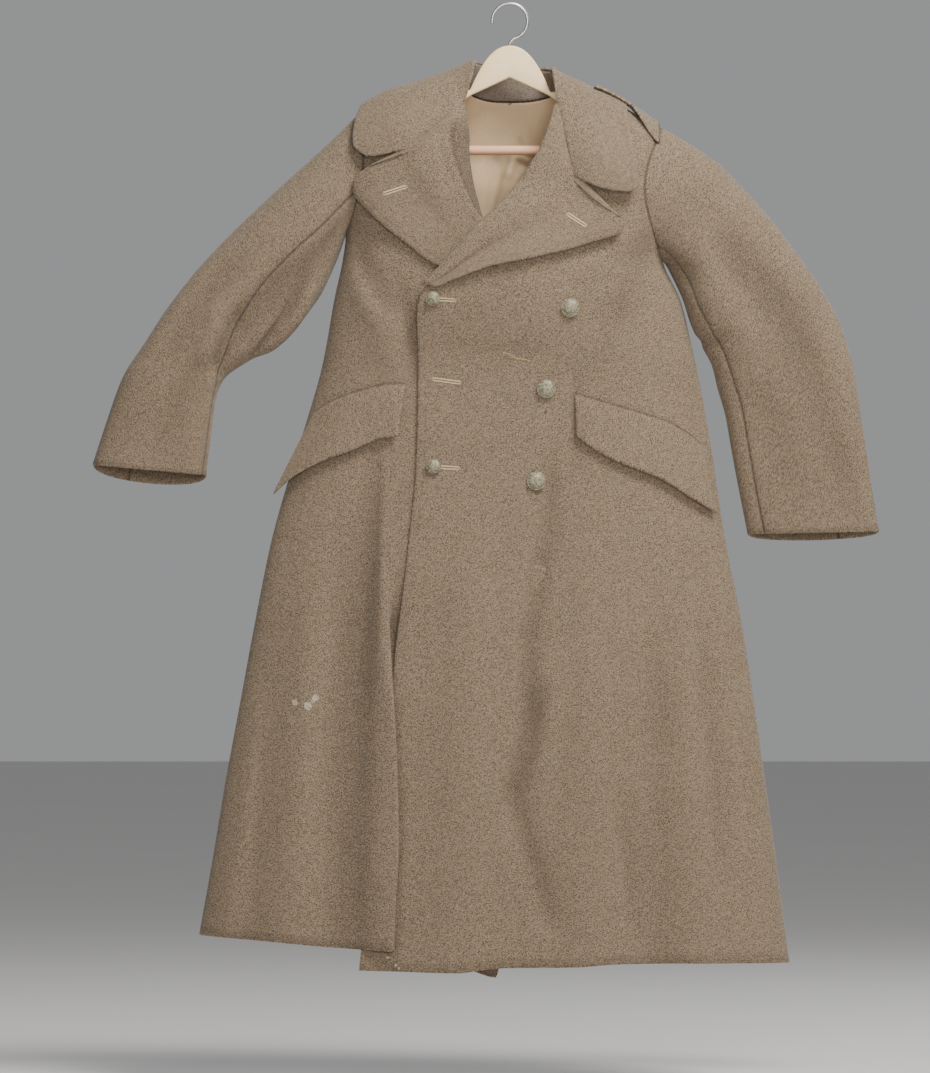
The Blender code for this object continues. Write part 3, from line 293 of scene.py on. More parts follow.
# Lining of the back, as far as it shows
LINING_UNDER_NECK = 0.0014
LINING_FOOT = -0.52
LINING_HALF_TOP = 0.068
LINING_HALF_FOOT = 0.15
LINING_AT_SEAM = 0.0034
LINING_OFF_BACK = 0.0046

# Hanger
HANGER_THICKNESS = 0.012
HANGER_REACH_RIGHT = -0.182
HANGER_REACH_LEFT = 0.184
HEAD_TOP = -0.0554
HEAD_NOTCH = -0.0986
HEAD_HALF_WIDTH = 0.06
HEAD_DROP = 0.055
HEAD_ARCH = 0.0518
ARM_CLEARANCE = 0.0085
ARM_HEIGHT = 0.03
ARM_SLOPE = 0.46
HANGER_EDGE = 0.0025
HANGER_END_ROUNDING = 0.01
BAR_Z = -0.1973
BAR_RADIUS = 0.0065
BAR_REACH = 0.155
ARM_END_FOOT = -0.2085
HOOK_WIRE = 0.0021
HOOK_RADIUS = 0.022
ARMHOLES = {"left": ARMHOLE_LEFT, "right": ARMHOLE_RIGHT}
SLEEVES = {"left": SLEEVE_LEFT, "right": SLEEVE_RIGHT}
LAPELS = {"left": LAPEL_LEFT, "right": LAPEL_RIGHT}
FLAPS = {"left": FLAP_LEFT, "right": FLAP_RIGHT}

# Fineness of the cloth: rows down and columns across
FRONT_GRID = (190, 96)
BACK_GRID = (170, 80)
SLEEVE_GRID = (120, 44)
LAPEL_GRID = (84, 44)
LEAF_GRID = (190, 40)
FLAP_GRID = (64, 34)
STRAP_GRID = (54, 34)
LINING_GRID = (130, 80)
STAND_GRID = (60, 14)
RIM_ROUNDING = 0.42
SEAM_DIP = 0.0013
SEAM_REACH = 0.0055
UNEVEN = ((0.3, 0.0016, 3.1), (0.11, 0.0011, 11.7), (0.045, 0.0004, 27.3))  # size, height, seed

CREASES = {  # x and z of one end, x and z of the other, half width, height, bow
    "front_left": (
        (0.052, -0.63, 0.034, -0.79, 0.014, -0.0065, 0.004),
        (0.034, -0.77, 0.02, -0.96, 0.013, -0.0075, -0.004),
        (0.03, -0.94, 0.0, -1.08, 0.013, -0.0095, 0.003),
        (0.002, -1.07, 0.058, -1.25, 0.015, -0.0075, -0.003),
        (0.06, -0.9, 0.034, -1.06, 0.014, 0.0055, 0.004),
        (0.253, -0.86, 0.282, -1.19, 0.015, -0.006, 0.004),
        (0.14, -1.06, 0.165, -1.25, 0.013, -0.0045, 0.004),
        (0.182, -0.318, 0.12, -0.43, 0.018, -0.0046, 0.01),
        (0.165, -0.3, 0.095, -0.365, 0.014, 0.0034, 0.008),
        (0.196, -0.372, 0.11, -0.51, 0.02, -0.0036, -0.012),
        (0.06, -0.47, -0.09, -0.462, 0.015, -0.0018, 0.006),
        (0.046, -0.565, -0.07, -0.6, 0.016, 0.002, 0.006),
        (0.088, -0.5, 0.082, -0.64, 0.01, -0.004, 0.0),
    ),
    "front_right": (
        (-0.206, -0.318, -0.16, -0.42, 0.015, -0.0042, -0.01),
        (-0.214, -0.372, -0.165, -0.49, 0.018, 0.0034, 0.008),
        (-0.15, -0.38, -0.132, -0.5, 0.012, -0.0036, 0.004),
        (-0.225, -0.73, -0.262, -1.12, 0.024, -0.0046, 0.01),
        (-0.34, -0.9, -0.385, -1.23, 0.026, 0.0044, 0.006),
    ),
    "back": (
        (-0.195, -0.33, -0.06, -0.39, 0.02, -0.0038, 0.016),
        (0.19, -0.345, 0.07, -0.4, 0.02, -0.0036, -0.014),
        (-0.17, -0.24, -0.06, -0.27, 0.018, 0.0026, 0.01),
        (0.165, -0.25, 0.06, -0.285, 0.018, 0.0026, 0.008),
        (-0.09, -0.47, -0.13, -0.76, 0.024, 0.0038, 0.008),
        (0.08, -0.48, 0.11, -0.78, 0.024, -0.0036, 0.008),
        (0.02, -0.56, 0.034, -1.2, 0.03, 0.004, 0.01),
        (-0.23, -0.82, -0.3, -1.23, 0.028, 0.0046, 0.01),
        (0.25, -0.86, 0.3, -1.23, 0.028, 0.0042, -0.008),
    ),
}
SLEEVE_CREASES = {  # share along and turn (in half turns) of both ends, half width, height
    "left": (
        (0.22, 0.44, 0.62, 0.38, 0.02, -0.0075),
        (0.6, 0.4, 0.98, 0.26, 0.02, -0.0065),
        (0.16, 0.62, 0.52, 0.6, 0.018, 0.005),
        (0.34, 0.96, 0.44, 0.72, 0.013, -0.004),
        (0.05, 0.86, 0.22, 0.62, 0.014, -0.006),
        (0.1, 0.3, 0.36, 0.16, 0.018, 0.004),
        (0.64, 0.64, 0.96, 0.56, 0.016, -0.004),
        (0.6, 0.2, 0.94, 0.14, 0.018, 0.004),
        (0.2, -0.5, 0.55, -0.42, 0.018, -0.005),
        (0.34, -0.96, 0.44, -0.7, 0.013, -0.0036),
        (0.6, -0.6, 0.92, -0.5, 0.018, 0.0036),
    ),
    "right": (
        (0.08, 0.68, 0.27, 0.58, 0.016, -0.008),
        (0.27, 0.58, 0.46, 0.59, 0.017, -0.0095),
        (0.44, 0.59, 0.62, 0.74, 0.014, -0.008),
        (0.1, 0.53, 0.3, 0.45, 0.013, 0.004),
        (0.3, 0.45, 0.5, 0.47, 0.013, 0.0046),
        (0.48, 0.47, 0.62, 0.62, 0.012, 0.004),
        (0.21, 0.68, 0.43, 0.9, 0.008, -0.0095),
        (0.19, 0.8, 0.4, 1.0, 0.01, 0.006),
        (0.08, 0.36, 0.36, 0.24, 0.018, 0.0036),
        (0.34, 0.3, 0.7, 0.36, 0.018, -0.0044),
        (0.62, 0.62, 0.94, 0.54, 0.016, -0.0044),
        (0.2, -0.52, 0.55, -0.44, 0.018, -0.005),
        (0.34, -0.96, 0.44, -0.7, 0.013, -0.0036),
        (0.6, -0.6, 0.92, -0.5, 0.018, 0.0036),
    ),
}
SLEEVE_LENGTH = 0.56
SLEEVE_HALF_ROUND = 0.165
LINING_CREASES = (  # x and z of both ends, half width, height
    (0.012, -0.18, 0.012, -0.194, 0.003, -0.004),
    (0.006, -0.2, -0.003, -0.232, 0.006, 0.0075),
    (-0.003, -0.23, -0.018, -0.28, 0.0065, 0.007),
    (0.01, -0.203, 0.034, -0.214, 0.005, 0.006),
    (0.034, -0.214, 0.012, -0.244, 0.005, -0.006),
    (-0.022, -0.212, -0.03, -0.29, 0.008, -0.007),
    (0.02, -0.222, -0.004, -0.262, 0.006, 0.005),
)


# Reading tables and moving between values, for numbers and arrays alike

def table(rows, key, column, value):
    """Read one column of a table at any value of its key column, smoothly."""
    keys = np.array([row[key] for row in rows], float)
    values = np.array([row[column] for row in rows], float)
    if keys[0] > keys[-1]:
        keys, values = keys[::-1], values[::-1]
    slope = np.empty(len(keys))
    slope[1:-1] = (values[2:] - values[:-2]) / (keys[2:] - keys[:-2])
    slope[0] = (values[1] - values[0]) / (keys[1] - keys[0])
    slope[-1] = (values[-1] - values[-2]) / (keys[-1] - keys[-2])
    value = np.clip(np.asarray(value, float), keys[0], keys[-1])
    i = np.clip(np.searchsorted(keys, value, side="left") - 1, 0, len(keys) - 2)
    width = keys[i + 1] - keys[i]
    t = (value - keys[i]) / width
    return (values[i] * (2 * t ** 3 - 3 * t ** 2 + 1) + values[i + 1] * (3 * t ** 2 - 2 * t ** 3)
            + width * (slope[i] * (t ** 3 - 2 * t ** 2 + t) + slope[i + 1] * (t ** 3 - t ** 2)))


def row_at(rows, position):
    """Read every column of a table at a position from 0 to 1 along its rows."""
    numbered = [(n,) + tuple(row) for n, row in enumerate(rows)]
    place = np.asarray(position, float) * (len(rows) - 1)
    return [table(numbered, 0, c, place) for c in range(1, len(numbered[0]))]


def smooth(low, high, value):
    t = np.clip((value - low) / (high - low), 0.0, 1.0)
    return t * t * (3 - 2 * t)


def lerp(a, b, t):
    return a + (b - a) * t


def pack(x, y, z):
    return np.stack(np.broadcast_arrays(x, y, z), axis=-1).astype(float)


def length_of(vectors):
    return np.sqrt((vectors * vectors).sum(axis=-1))


def unit(vectors):
    return vectors / np.maximum(length_of(vectors), 1e-12)[..., None]


# The shell

def across_share(x, z):
    right, left = table(BODY, 0, 1, z), table(BODY, 0, 2, z)
    return np.minimum(np.abs(2 * x - right - left) / (left - right), 1.0)


def depth(x, z, behind):
    """Distance of the shell from the hanger's plane."""
    below = np.clip((table(SHOULDER_LINE, 0, 1, x) - z) / SHOULDER_ROUNDING, 0.0, 1.0)
    full = np.where(behind, table(BODY, 0, 4, z), table(BODY, 0, 3, z))
    return full * np.sqrt(1 - across_share(x, z) ** SIDE_POWER) * np.sqrt(1 - (1 - below) ** 2)


def shell_y(x, z, behind=False):
    y = depth(x, z, behind) + SIDE_GAP
    return np.where(behind, y, -y)


def on_shell(x, z, behind=False):
    return pack(x, shell_y(x, z, behind), z)


def out_of_shell(x, z, behind=False):
    """Direction straight out of the shell."""
    step = 0.003
    slope_x = (shell_y(x + step, z, behind) - shell_y(x - step, z, behind)) / (2 * step)
    slope_z = (shell_y(x, z + step, behind) - shell_y(x, z - step, behind)) / (2 * step)
    slope_x, slope_z = np.clip(slope_x, -2.5, 2.5), np.clip(slope_z, -2.5, 2.5)
    way = np.where(behind, -1.0, 1.0)
    return unit(pack(way * slope_x, -way, way * slope_z))


def crease_height(x, z, x0, z0, x1, z1, half_width, height, bow=0.0):
    """One soft trough or ridge between two points, fading at both ends."""
    run = math.hypot(x1 - x0, z1 - z0)
    along_x, along_z = (x1 - x0) / run, (z1 - z0) / run
    t = ((x - x0) * along_x + (z - z0) * along_z) / run
    off = (x - x0) * -along_z + (z - z0) * along_x
    off = off - bow * np.sin(math.pi * np.clip(t, 0, 1))
    ends = smooth(-0.25, 0.25, t) * smooth(1.25, 0.75, t)
    lean = half_width * np.where(off > 0, 1.25, 0.85)
    return height * np.exp(-(off / lean) ** 2) * ends


def uneven(points):
    """Small lack of flatness that a used, thick cloth has everywhere."""
    flat = np.asarray(points, float).reshape(-1, 3)
    total = np.zeros(len(flat))
    for size, height, seed in UNEVEN:
        shift = Vector((seed, 2 * seed, -seed))
        total += [height * noise.noise(Vector(p) / size + shift) for p in flat]
    return total.reshape(np.shape(points)[:-1])


def drape(panel, x, z):
    """Height of the long folds and the creases of a body panel over its shell."""
    x, z = np.broadcast_arrays(np.asarray(x, float), np.asarray(z, float))
    height = np.zeros(x.shape)
    for x_top, z_top, x_low, z_low, half_width, tall, fades in DRAPE[panel]:
        t = np.clip((z - z_top) / (z_low - z_top), 0.0, 1.0)
        away = (x - lerp(x_top, x_low, t)) / (half_width * (0.6 + 0.6 * t))
        height = height + tall * np.exp(-away * away) * smooth(0.0, 0.45, t) * (1 - fades * smooth(0.5, 1.0, t))
    free = smooth(1.0, 0.88, across_share(x, z)) * smooth(0.0, 0.05, table(SHOULDER_LINE, 0, 1, x) - z)
    for crease in CREASES[panel]:
        height = height + crease_height(x, z, *crease) * free
    return height + uneven(pack(x, 0.5 if panel == "back" else 0.0, z)) * free


def trough_shade(panel, grid):
    """Painted shade in the troughs of a panel's folds, from 0 to 1."""
    x, z = grid[..., 0], grid[..., 2]
    shade = TROUGH_DARK * np.clip(-drape(panel, x, z) / TROUGH_DEPTH, 0.0, 1.0)
    if panel == "front_left":
        # On the left front, a painted shadow just past the edge of the right front's long fold, low on the skirt
        past = x - table(FOLD_NOSE, 0, 1, z)
        beside = np.exp(-(np.maximum(past, 0.0) / 0.007) ** 2) * smooth(-0.004, 0.0, past)
        shade = np.maximum(shade, 0.55 * beside * smooth(-0.9, -0.96, z))
    return shade


def left_front_lift(x, z):
    """How far the left front lies over the shell, from what is under it."""
    over_lapel = smooth(-0.5, -0.38, z) * smooth(-0.235, -0.285, z) * smooth(0.1, 0.0, x)
    lift = OVERLAP_LIFT * smooth(0.24, 0.1, x) + (LAPEL_LIFT - OVERLAP_LIFT) * over_lapel
    sunk = (FOLD_RIDGE - 2 * FOLD_NOSE_RADIUS - FOLD_BACK_RADIUS) - OVERLAP_LIFT
    tucked = smooth(FOLD_START, FOLD_SHUT - 0.005, z) * smooth(-0.03, -0.14, x)
    return lift + sunk * tucked + drape("front_left", x, z)


def front_point(side, x, z):
    lift = left_front_lift(x, z) if side == "left" else drape("front_right", x, z)
    return pack(x, shell_y(x, z) - lift, z)


# Grids of points: normals, distances to edges, and closed walls

def grid_normals(grid):
    along, down = np.empty_like(grid), np.empty_like(grid)
    along[:, 1:-1] = grid[:, 2:] - grid[:, :-2]
    along[:, 0], along[:, -1] = grid[:, 1] - grid[:, 0], grid[:, -1] - grid[:, -2]
    down[1:-1] = grid[2:] - grid[:-2]
    down[0], down[-1] = grid[1] - grid[0], grid[-1] - grid[-2]
    return unit(np.cross(along, down))


def distance_to(grid, edges, far=0.05):
    """Distance of each point of a grid to its named edges."""
    lines = {"first_row": grid[0], "last_row": grid[-1], "first_column": grid[:, 0], "last_column": grid[:, -1]}
    near = np.full(grid.shape[:2], far)
    for edge in edges:
        for spot in lines[edge]:
            near = np.minimum(near, length_of(grid - spot))
    return near


def turned_in(grid, edges, dip):
    """Let the cloth sink a little where a seam pulls it in."""
    sink = dip * np.exp(-(distance_to(grid, edges) / SEAM_REACH) ** 2)
    return grid - grid_normals(grid) * outward_sign(grid) * sink[..., None]


def outward_sign(grid):
    """1 where the grid's normals leave the coat's middle plane, else -1."""
    return 1.0 if (grid_normals(grid)[..., 1] * grid[..., 1]).sum() >= 0 else -1.0



def wall(name, grid, thickness, material, worn=(), seams=(), rounding=RIM_ROUNDING, hollow=None):
    """A closed cloth wall about a grid of points, with rounded rims."""
    rows, columns = grid.shape[:2]
    normals = grid_normals(grid)
    outer, inner = grid + normals * thickness / 2, grid - normals * thickness / 2
    number = np.arange(rows * columns).reshape(rows, columns)
    ring = np.concatenate([number[0, :], number[1:, -1], number[-1, -2::-1], number[-2:0:-1, 0]])
    inward = np.zeros_like(grid)
    inward[0] += grid[1] - grid[0]
    inward[-1] += grid[-2] - grid[-1]
    inward[:, 0] += grid[:, 1] - grid[:, 0]
    inward[:, -1] += grid[:, -2] - grid[:, -1]
    rim = grid.reshape(-1, 3)[ring] - unit(inward.reshape(-1, 3)[ring]) * thickness * rounding
    points = np.concatenate([outer.reshape(-1, 3), inner.reshape(-1, 3), rim])
    a, b = number[:-1, :-1].ravel(), number[:-1, 1:].ravel()
    c, d = number[1:, 1:].ravel(), number[1:, :-1].ravel()
    count = rows * columns
    faces = [np.stack([a, b, c, d], 1), np.stack([a, d, c, b], 1) + count]
    after, middle = np.roll(ring, -1), 2 * count + np.arange(len(ring))
    faces.append(np.stack([after, ring, middle, np.roll(middle, -1)], 1))
    faces.append(np.stack([np.roll(middle, -1), middle, ring + count, after + count], 1))
    faces = np.concatenate(faces)
    inward_facing = volume_of(points[faces] - points.mean(axis=0)) < 0
    obj = smooth_mesh(name, points, (faces[:, ::-1] if inward_facing else faces).tolist(), material, 62)
    # The hollow attribute carries painted shade, from 0 to 1, that the wool material darkens by
    hollow = np.zeros((rows, columns)) if hollow is None else hollow
    for label, near in (("edge_way", distance_to(grid, worn)), ("seam_way", distance_to(grid, seams)),
                        ("hollow", hollow)):
        near = near.ravel()
        spread = obj.data.attributes.new(label, "FLOAT", "POINT")
        spread.data.foreach_set("value", np.concatenate([near, near, near[ring]]).astype(np.float32))
    across = np.cumsum(np.pad(length_of(np.diff(grid, axis=1)), ((0, 0), (1, 0))), axis=1).ravel()
    down = np.cumsum(np.pad(length_of(np.diff(grid, axis=0)), ((1, 0), (0, 0))), axis=0).ravel()
    lay = pack(across, down, 0.0)
    cloth = obj.data.attributes.new("cloth_way", "FLOAT_VECTOR", "POINT")
    cloth.data.foreach_set("vector", np.concatenate([lay, lay, lay[ring]]).astype(np.float32).ravel())
    return obj


def linked(name, data):
    obj = bpy.data.objects.new(name, data)
    bpy.context.scene.collection.objects.link(obj)
    return obj


def smooth_mesh(name, points, faces, material, crease_angle, turned=False):
    """A smooth mesh object, with its faces turned round where they point in."""
    mesh = bpy.data.meshes.new(name)
    mesh.from_pydata(points.tolist(), [], faces)
    mesh.update()
    if turned:
        mesh.flip_normals()
    mesh.shade_smooth()
    mesh.set_sharp_from_angle(angle=math.radians(crease_angle))
    mesh.materials.append(material)
    return linked(name, mesh)


def volume_of(corners):
    """Six times the volume that quads close in, below 0 where they point in."""
    halves = (np.cross(corners[:, n], corners[:, n + 1]) for n in (1, 2))
    return sum(np.einsum("ij,ij->i", corners[:, 0], half).sum() for half in halves)


def place(obj, node, slot):
    """Hide the frame's part that a finished piece stands for, and let the piece move with the coat."""
    if node:
        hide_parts(node)
    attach(obj, "root")


def cloth(node, grid, thickness, finish, worn=(), seams=(), rounding=RIM_ROUNDING, hollow=None,
          slot="greatcoat_wool", rests_on="hanger"):
    """One cloth piece, built as a closed wall, that takes the place of its part in the frame."""
    obj = wall(node + "_cloth", grid, thickness, finish_of(finish), worn, seams, rounding, hollow)
    place(obj, node, slot)


def inset_line(grid, edge, inset, over, trim):
    """A line on the cloth's outer face, a set way in from one edge."""
    crossed = grid.transpose(1, 0, 2)
    turned = {"last_column": grid, "first_column": grid[:, ::-1], "last_row": crossed,
              "first_row": crossed[:, ::-1]}[edge]
    normals = unit(grid_normals(turned) * outward_sign(turned))
    line, lift = [], []
    for back, front in zip(turned[:, ::-1], normals[:, ::-1]):
        way = np.concatenate([[0.0], np.cumsum(length_of(np.diff(back, axis=0)))])
        spot = np.interp(inset, way, np.arange(len(way)))
        low = min(int(spot), len(way) - 2)
        line.append(lerp(back[low], back[low + 1], spot - low))
        lift.append(lerp(front[low], front[low + 1], spot - low))
    line, lift = np.array(line), unit(np.array(lift))
    way = np.concatenate([[0.0], np.cumsum(length_of(np.diff(line, axis=0)))])
    return (line + lift * over)[(way >= trim[0]) & (way <= way[-1] - trim[1])]


# Grids of the pieces

def spread(marks, rows):
    """As many marks as there are rows, between those of a table."""
    return np.interp(np.linspace(0, len(marks) - 1, rows), np.arange(len(marks)), marks)


def onto_hem(z, x, straight_hem, hem_column, marks):
    """Let the last rows follow the hem's own line."""
    return z + (table(HEM, 0, hem_column, x) - straight_hem) * smooth(0.8, 1.0, marks)


def side_line(side, z):
    """Side of the body: the armhole, and below it the side seam."""
    hole = ARMHOLES[side]
    body = table(BODY, 0, 2 if side == "left" else 1, z)
    return np.where(z > hole[-1][0], table(hole, 0, 1, z), body)


def panel_ends(side, edge, hem_column, marks):
    """The two ends of each row of a body panel: side and front or centre edge."""
    side_hem_x = table(BODY, 0, 2 if side == "left" else 1, -1.28)
    side_hem = table(HEM, 0, hem_column, side_hem_x)
    edge_hem = table(HEM, 0, hem_column, edge[-1][1])
    z_side = lerp(ARMHOLES[side][0][0], side_hem, marks)
    z_edge = lerp(edge[0][0], edge_hem, marks)
    return side_line(side, z_side), z_side, table(edge, 0, 1, z_edge), z_edge


def behind_roll(edge, side):
    """The front's edge, drawn back from the lapel's roll so that the facing goes round it."""
    away = 1 if side == "left" else -1
    end_z = -0.392 if side == "left" else -0.315
    return tuple((z, x + away * ROLL_SETBACK * float(smooth(end_z, end_z + 0.02, z))) for z, x in edge)


def onto_ridge(z, x, straight_top, marks):
    """Let the first rows follow the shoulder line."""
    return z + (table(SHOULDER_LINE, 0, 1, x) - straight_top) * (1 - smooth(0.0, 0.03, marks))


def front_left_grid():
    rows, columns = FRONT_GRID
    marks = spread(PANEL_MARKS, rows)[:, None]
    g = (np.linspace(0, 1, columns) ** 1.25)[None, :]
    side_x, side_z, edge_x, edge_z = panel_ends("left", behind_roll(EDGE_LEFT, "left"), 2, marks)
    x, z = lerp(side_x, edge_x, g), lerp(side_z, edge_z, g)
    z = onto_ridge(z, x, lerp(side_z[0], edge_z[0], g), marks)
    return front_point("left", x, onto_hem(z, x, lerp(side_z[-1], edge_z[-1], g), 2, marks))


def fold_path(z, nose_x):
    """Points of the long fold, from its edge round and back, as x and height."""
    shut = smooth(FOLD_START, FOLD_SHUT, z)
    turn = math.pi * shut
    height = FOLD_RIDGE * shut
    under = table(FOLD_DEPTH, 0, 1, z)
    x, heading = nose_x - FOLD_NOSE_RADIUS - WOOL / 2, 0.0
    points = [(x, height)]
    for radius, sign, steps in ((FOLD_NOSE_RADIUS, 1, 9), (None, 0, 8), (FOLD_BACK_RADIUS, -1, 9)):
        for _ in range(steps):
            if radius is None:
                step = max(under, 0.004) / steps
            else:
                step = 2 * radius * math.sin(turn / steps / 2) if turn > 0.02 else 0.0
                step = max(step, 0.0006)
                heading += sign * turn / steps / 2
            x += step * math.cos(heading)
            height -= step * math.sin(heading)
            if radius is not None:
                heading += sign * turn / steps / 2
            points.append((x, height))
    return np.array(points)


def front_right_grid():
    rows, columns = FRONT_GRID
    to_fold, past_fold = int(columns * 0.62), int(columns * 0.22)
    marks = spread(PANEL_MARKS, rows)
    ends = panel_ends("right", behind_roll(EDGE_RIGHT, "right"), 1, marks)
    hem_side, hem_edge = ends[1][-1], ends[3][-1]
    grid = []
    for mark, side_x, side_z, edge_x, edge_z in zip(marks, *ends):
        middle_z = lerp(side_z, edge_z, 0.45)
        by_share = lerp(side_x, edge_x, 0.45)
        nose_x = lerp(by_share, table(FOLD_NOSE, 0, 1, middle_z), smooth(-0.4, -0.58, middle_z))
        folded = fold_path(middle_z, nose_x)
        before = lerp(side_x, folded[0, 0], (np.arange(to_fold) / to_fold) ** 1.2)
        after = lerp(folded[-1, 0], edge_x, np.arange(1, past_fold + 1) / past_fold)
        x = np.concatenate([before, folded[:, 0], after])
        under = table(FOLD_DEPTH, 0, 1, middle_z)
        rising = folded[0, 1] * smooth(under + 0.05, under + 0.004, folded[0, 0] - before)
        height = np.concatenate([rising, folded[:, 1], np.full(past_fold, folded[-1, 1])])
        share = (x - side_x) / (edge_x - side_x)
        z = lerp(side_z, edge_z, share)
        z = onto_ridge(z, x, lerp(ends[1][0], ends[3][0], share), mark)
        z = onto_hem(z, x, lerp(hem_side, hem_edge, share), 1, mark)
        relief = drape("front_right", x, z) * smooth(folded[0, 0] + 0.004, folded[0, 0] - 0.012, x)
        hidden = drape("front_left", x, z) * smooth(folded[0, 0] - 0.012, folded[0, 0] + 0.004, x)
        hidden = np.minimum(hidden, 0.0) if middle_z > FOLD_START else 0.0
        grid.append(pack(x, shell_y(x, z) - relief - hidden - height, z))
    return np.array(grid)


def neck_line(x):
    """Height of the back's top edge: the neck curve, then the shoulder seam."""
    neck_x = np.where(np.asarray(x) > 0, NECK_LEFT, NECK_RIGHT)
    ridge = table(SHOULDER_LINE, 0, 1, x)
    curve = lerp(CENTRE_BACK[0][0], table(SHOULDER_LINE, 0, 1, neck_x), np.abs(x / neck_x) ** 3)
    return np.where(np.abs(x) >= np.abs(neck_x), ridge, curve)


def back_grid(side):
    rows, columns = BACK_GRID
    sign = 1 if side == "left" else -1
    marks = spread(PANEL_MARKS, rows)[:, None]
    g = (np.linspace(0, 1, columns) ** 1.25)[None, :]
    side_x, side_z, edge_x, edge_z = panel_ends(side, CENTRE_BACK, 3, marks)
    apart = smooth(VENT_START + 0.07, VENT_START, edge_z)
    lap = VENT_LAP * smooth(VENT_START - 0.012, VENT_START - 0.045, edge_z)
    edge_x = edge_x + sign * (SEAM_GAP * 0.75 - lap)
    x, z = lerp(side_x, edge_x, g), lerp(side_z, edge_z, g)
    straight_top = lerp(ARMHOLES[side][0][0], CENTRE_BACK[0][0], g)
    z = z + (neck_line(x) - straight_top) * (1 - smooth(0.0, 0.12, marks))
    z = onto_hem(z, x, lerp(side_z[-1], edge_z[-1], g), 3, marks)
    near_lap = smooth(0.09, 0.03, np.abs(x - CENTRE_BACK[0][1]))
    return pack(x, shell_y(x, z, True) + drape("back", x, z) - sign * VENT_STEP * apart * near_lap, z)


def sleeve_middle(side, position):
    out_x, out_z, in_x, in_z, *_ = row_at(SLEEVES[side], np.maximum(position - 0.06, 0) / 0.94)
    return pack((out_x + in_x) / 2, 0.0, (out_z + in_z) / 2)


def sleeve_point(side, position, turn):
    """A point of the sleeve: position 0 at the armhole and 1 at the cuff."""
    values = row_at(SLEEVES[side], np.maximum(position - 0.06, 0) / 0.94)
    out_x, out_z, in_x, in_z, half_depth, drop, _ = values
    swell = np.copysign(np.abs(np.sin(turn)) ** 0.85, np.sin(turn))
    x = (out_x + in_x) / 2 + (out_x - in_x) / 2 * np.cos(turn)
    z = (out_z + in_z) / 2 + (out_z - in_z) / 2 * np.cos(turn) + np.where(swell < 0, drop * swell, 0.0)
    free = pack(x, -swell * half_depth, z)
    hole = ARMHOLES[side]
    top, low = hole[0][0], hole[-1][0]
    hole_z = (top + low) / 2 + (top - low) / 2 * np.cos(turn)
    hole_x = table(hole, 0, 1, hole_z)
    behind = np.sin(turn) < 0
    relief = np.where(behind, drape("back", hole_x, hole_z), -drape("front_" + side, hole_x, hole_z))
    start_x = hole_x + np.sign((out_x + in_x) / 2 - hole_x) * (WOOL / 2 + ARMHOLE_GAP)
    start = pack(start_x, shell_y(hole_x, hole_z, behind) + relief, hole_z)
    near = (1 - smooth(0.0, 0.16, position))[..., None]
    return lerp(free, start, near)


def sleeve_grid(side, piece):
    rows, columns = SLEEVE_GRID
    marks = spread(SLEEVE_MARKS, rows)
    seam = row_at(SLEEVES[side], marks)[6]
    front_seam, hind_seam = np.arccos(-1 + 2 * seam), -math.acos(1 - 2 * HIND_SEAM)
    if piece == "top":
        start, end = hind_seam + SLEEVE_SEAM_TURN + 0 * front_seam, front_seam - SLEEVE_SEAM_TURN
    else:
        start, end = front_seam + SLEEVE_SEAM_TURN, hind_seam + 2 * math.pi - SLEEVE_SEAM_TURN + 0 * front_seam
    position = np.repeat(marks[:, None], columns, axis=1)
    turn = start[:, None] + (end - start)[:, None] * np.linspace(0, 1, columns)[None, :]
    grid = sleeve_point(side, position, turn)
    height = uneven(grid * np.array([1.0, 2.0, 1.0])) * smooth(0.0, 0.08, position)
    along, half_turns = position * SLEEVE_LENGTH, turn / math.pi
    for p0, t0, p1, t1, half_width, tall in SLEEVE_CREASES[side]:
        ends = p0 * SLEEVE_LENGTH, t0 * SLEEVE_HALF_ROUND, p1 * SLEEVE_LENGTH, t1 * SLEEVE_HALF_ROUND
        for wrapped in (half_turns, half_turns - 2):
            crease = crease_height(along, wrapped * SLEEVE_HALF_ROUND, *ends, half_width, tall)
            height = height + crease * smooth(0.0, 0.06, position)
    return raised(grid, height, sleeve_middle(side, position)), height


def raised(grid, height, middle=0.0):
    """Move a grid out from its own middle by a height."""
    normals = grid_normals(grid)
    sign = 1.0 if (normals * (grid - middle)).sum() > 0 else -1.0
    return grid + normals * sign * np.asarray(height)[..., None]


def lapel_point(side, x, z, over):
    return front_point(side, x, z) + out_of_shell(x, z) * np.asarray(over)[..., None]


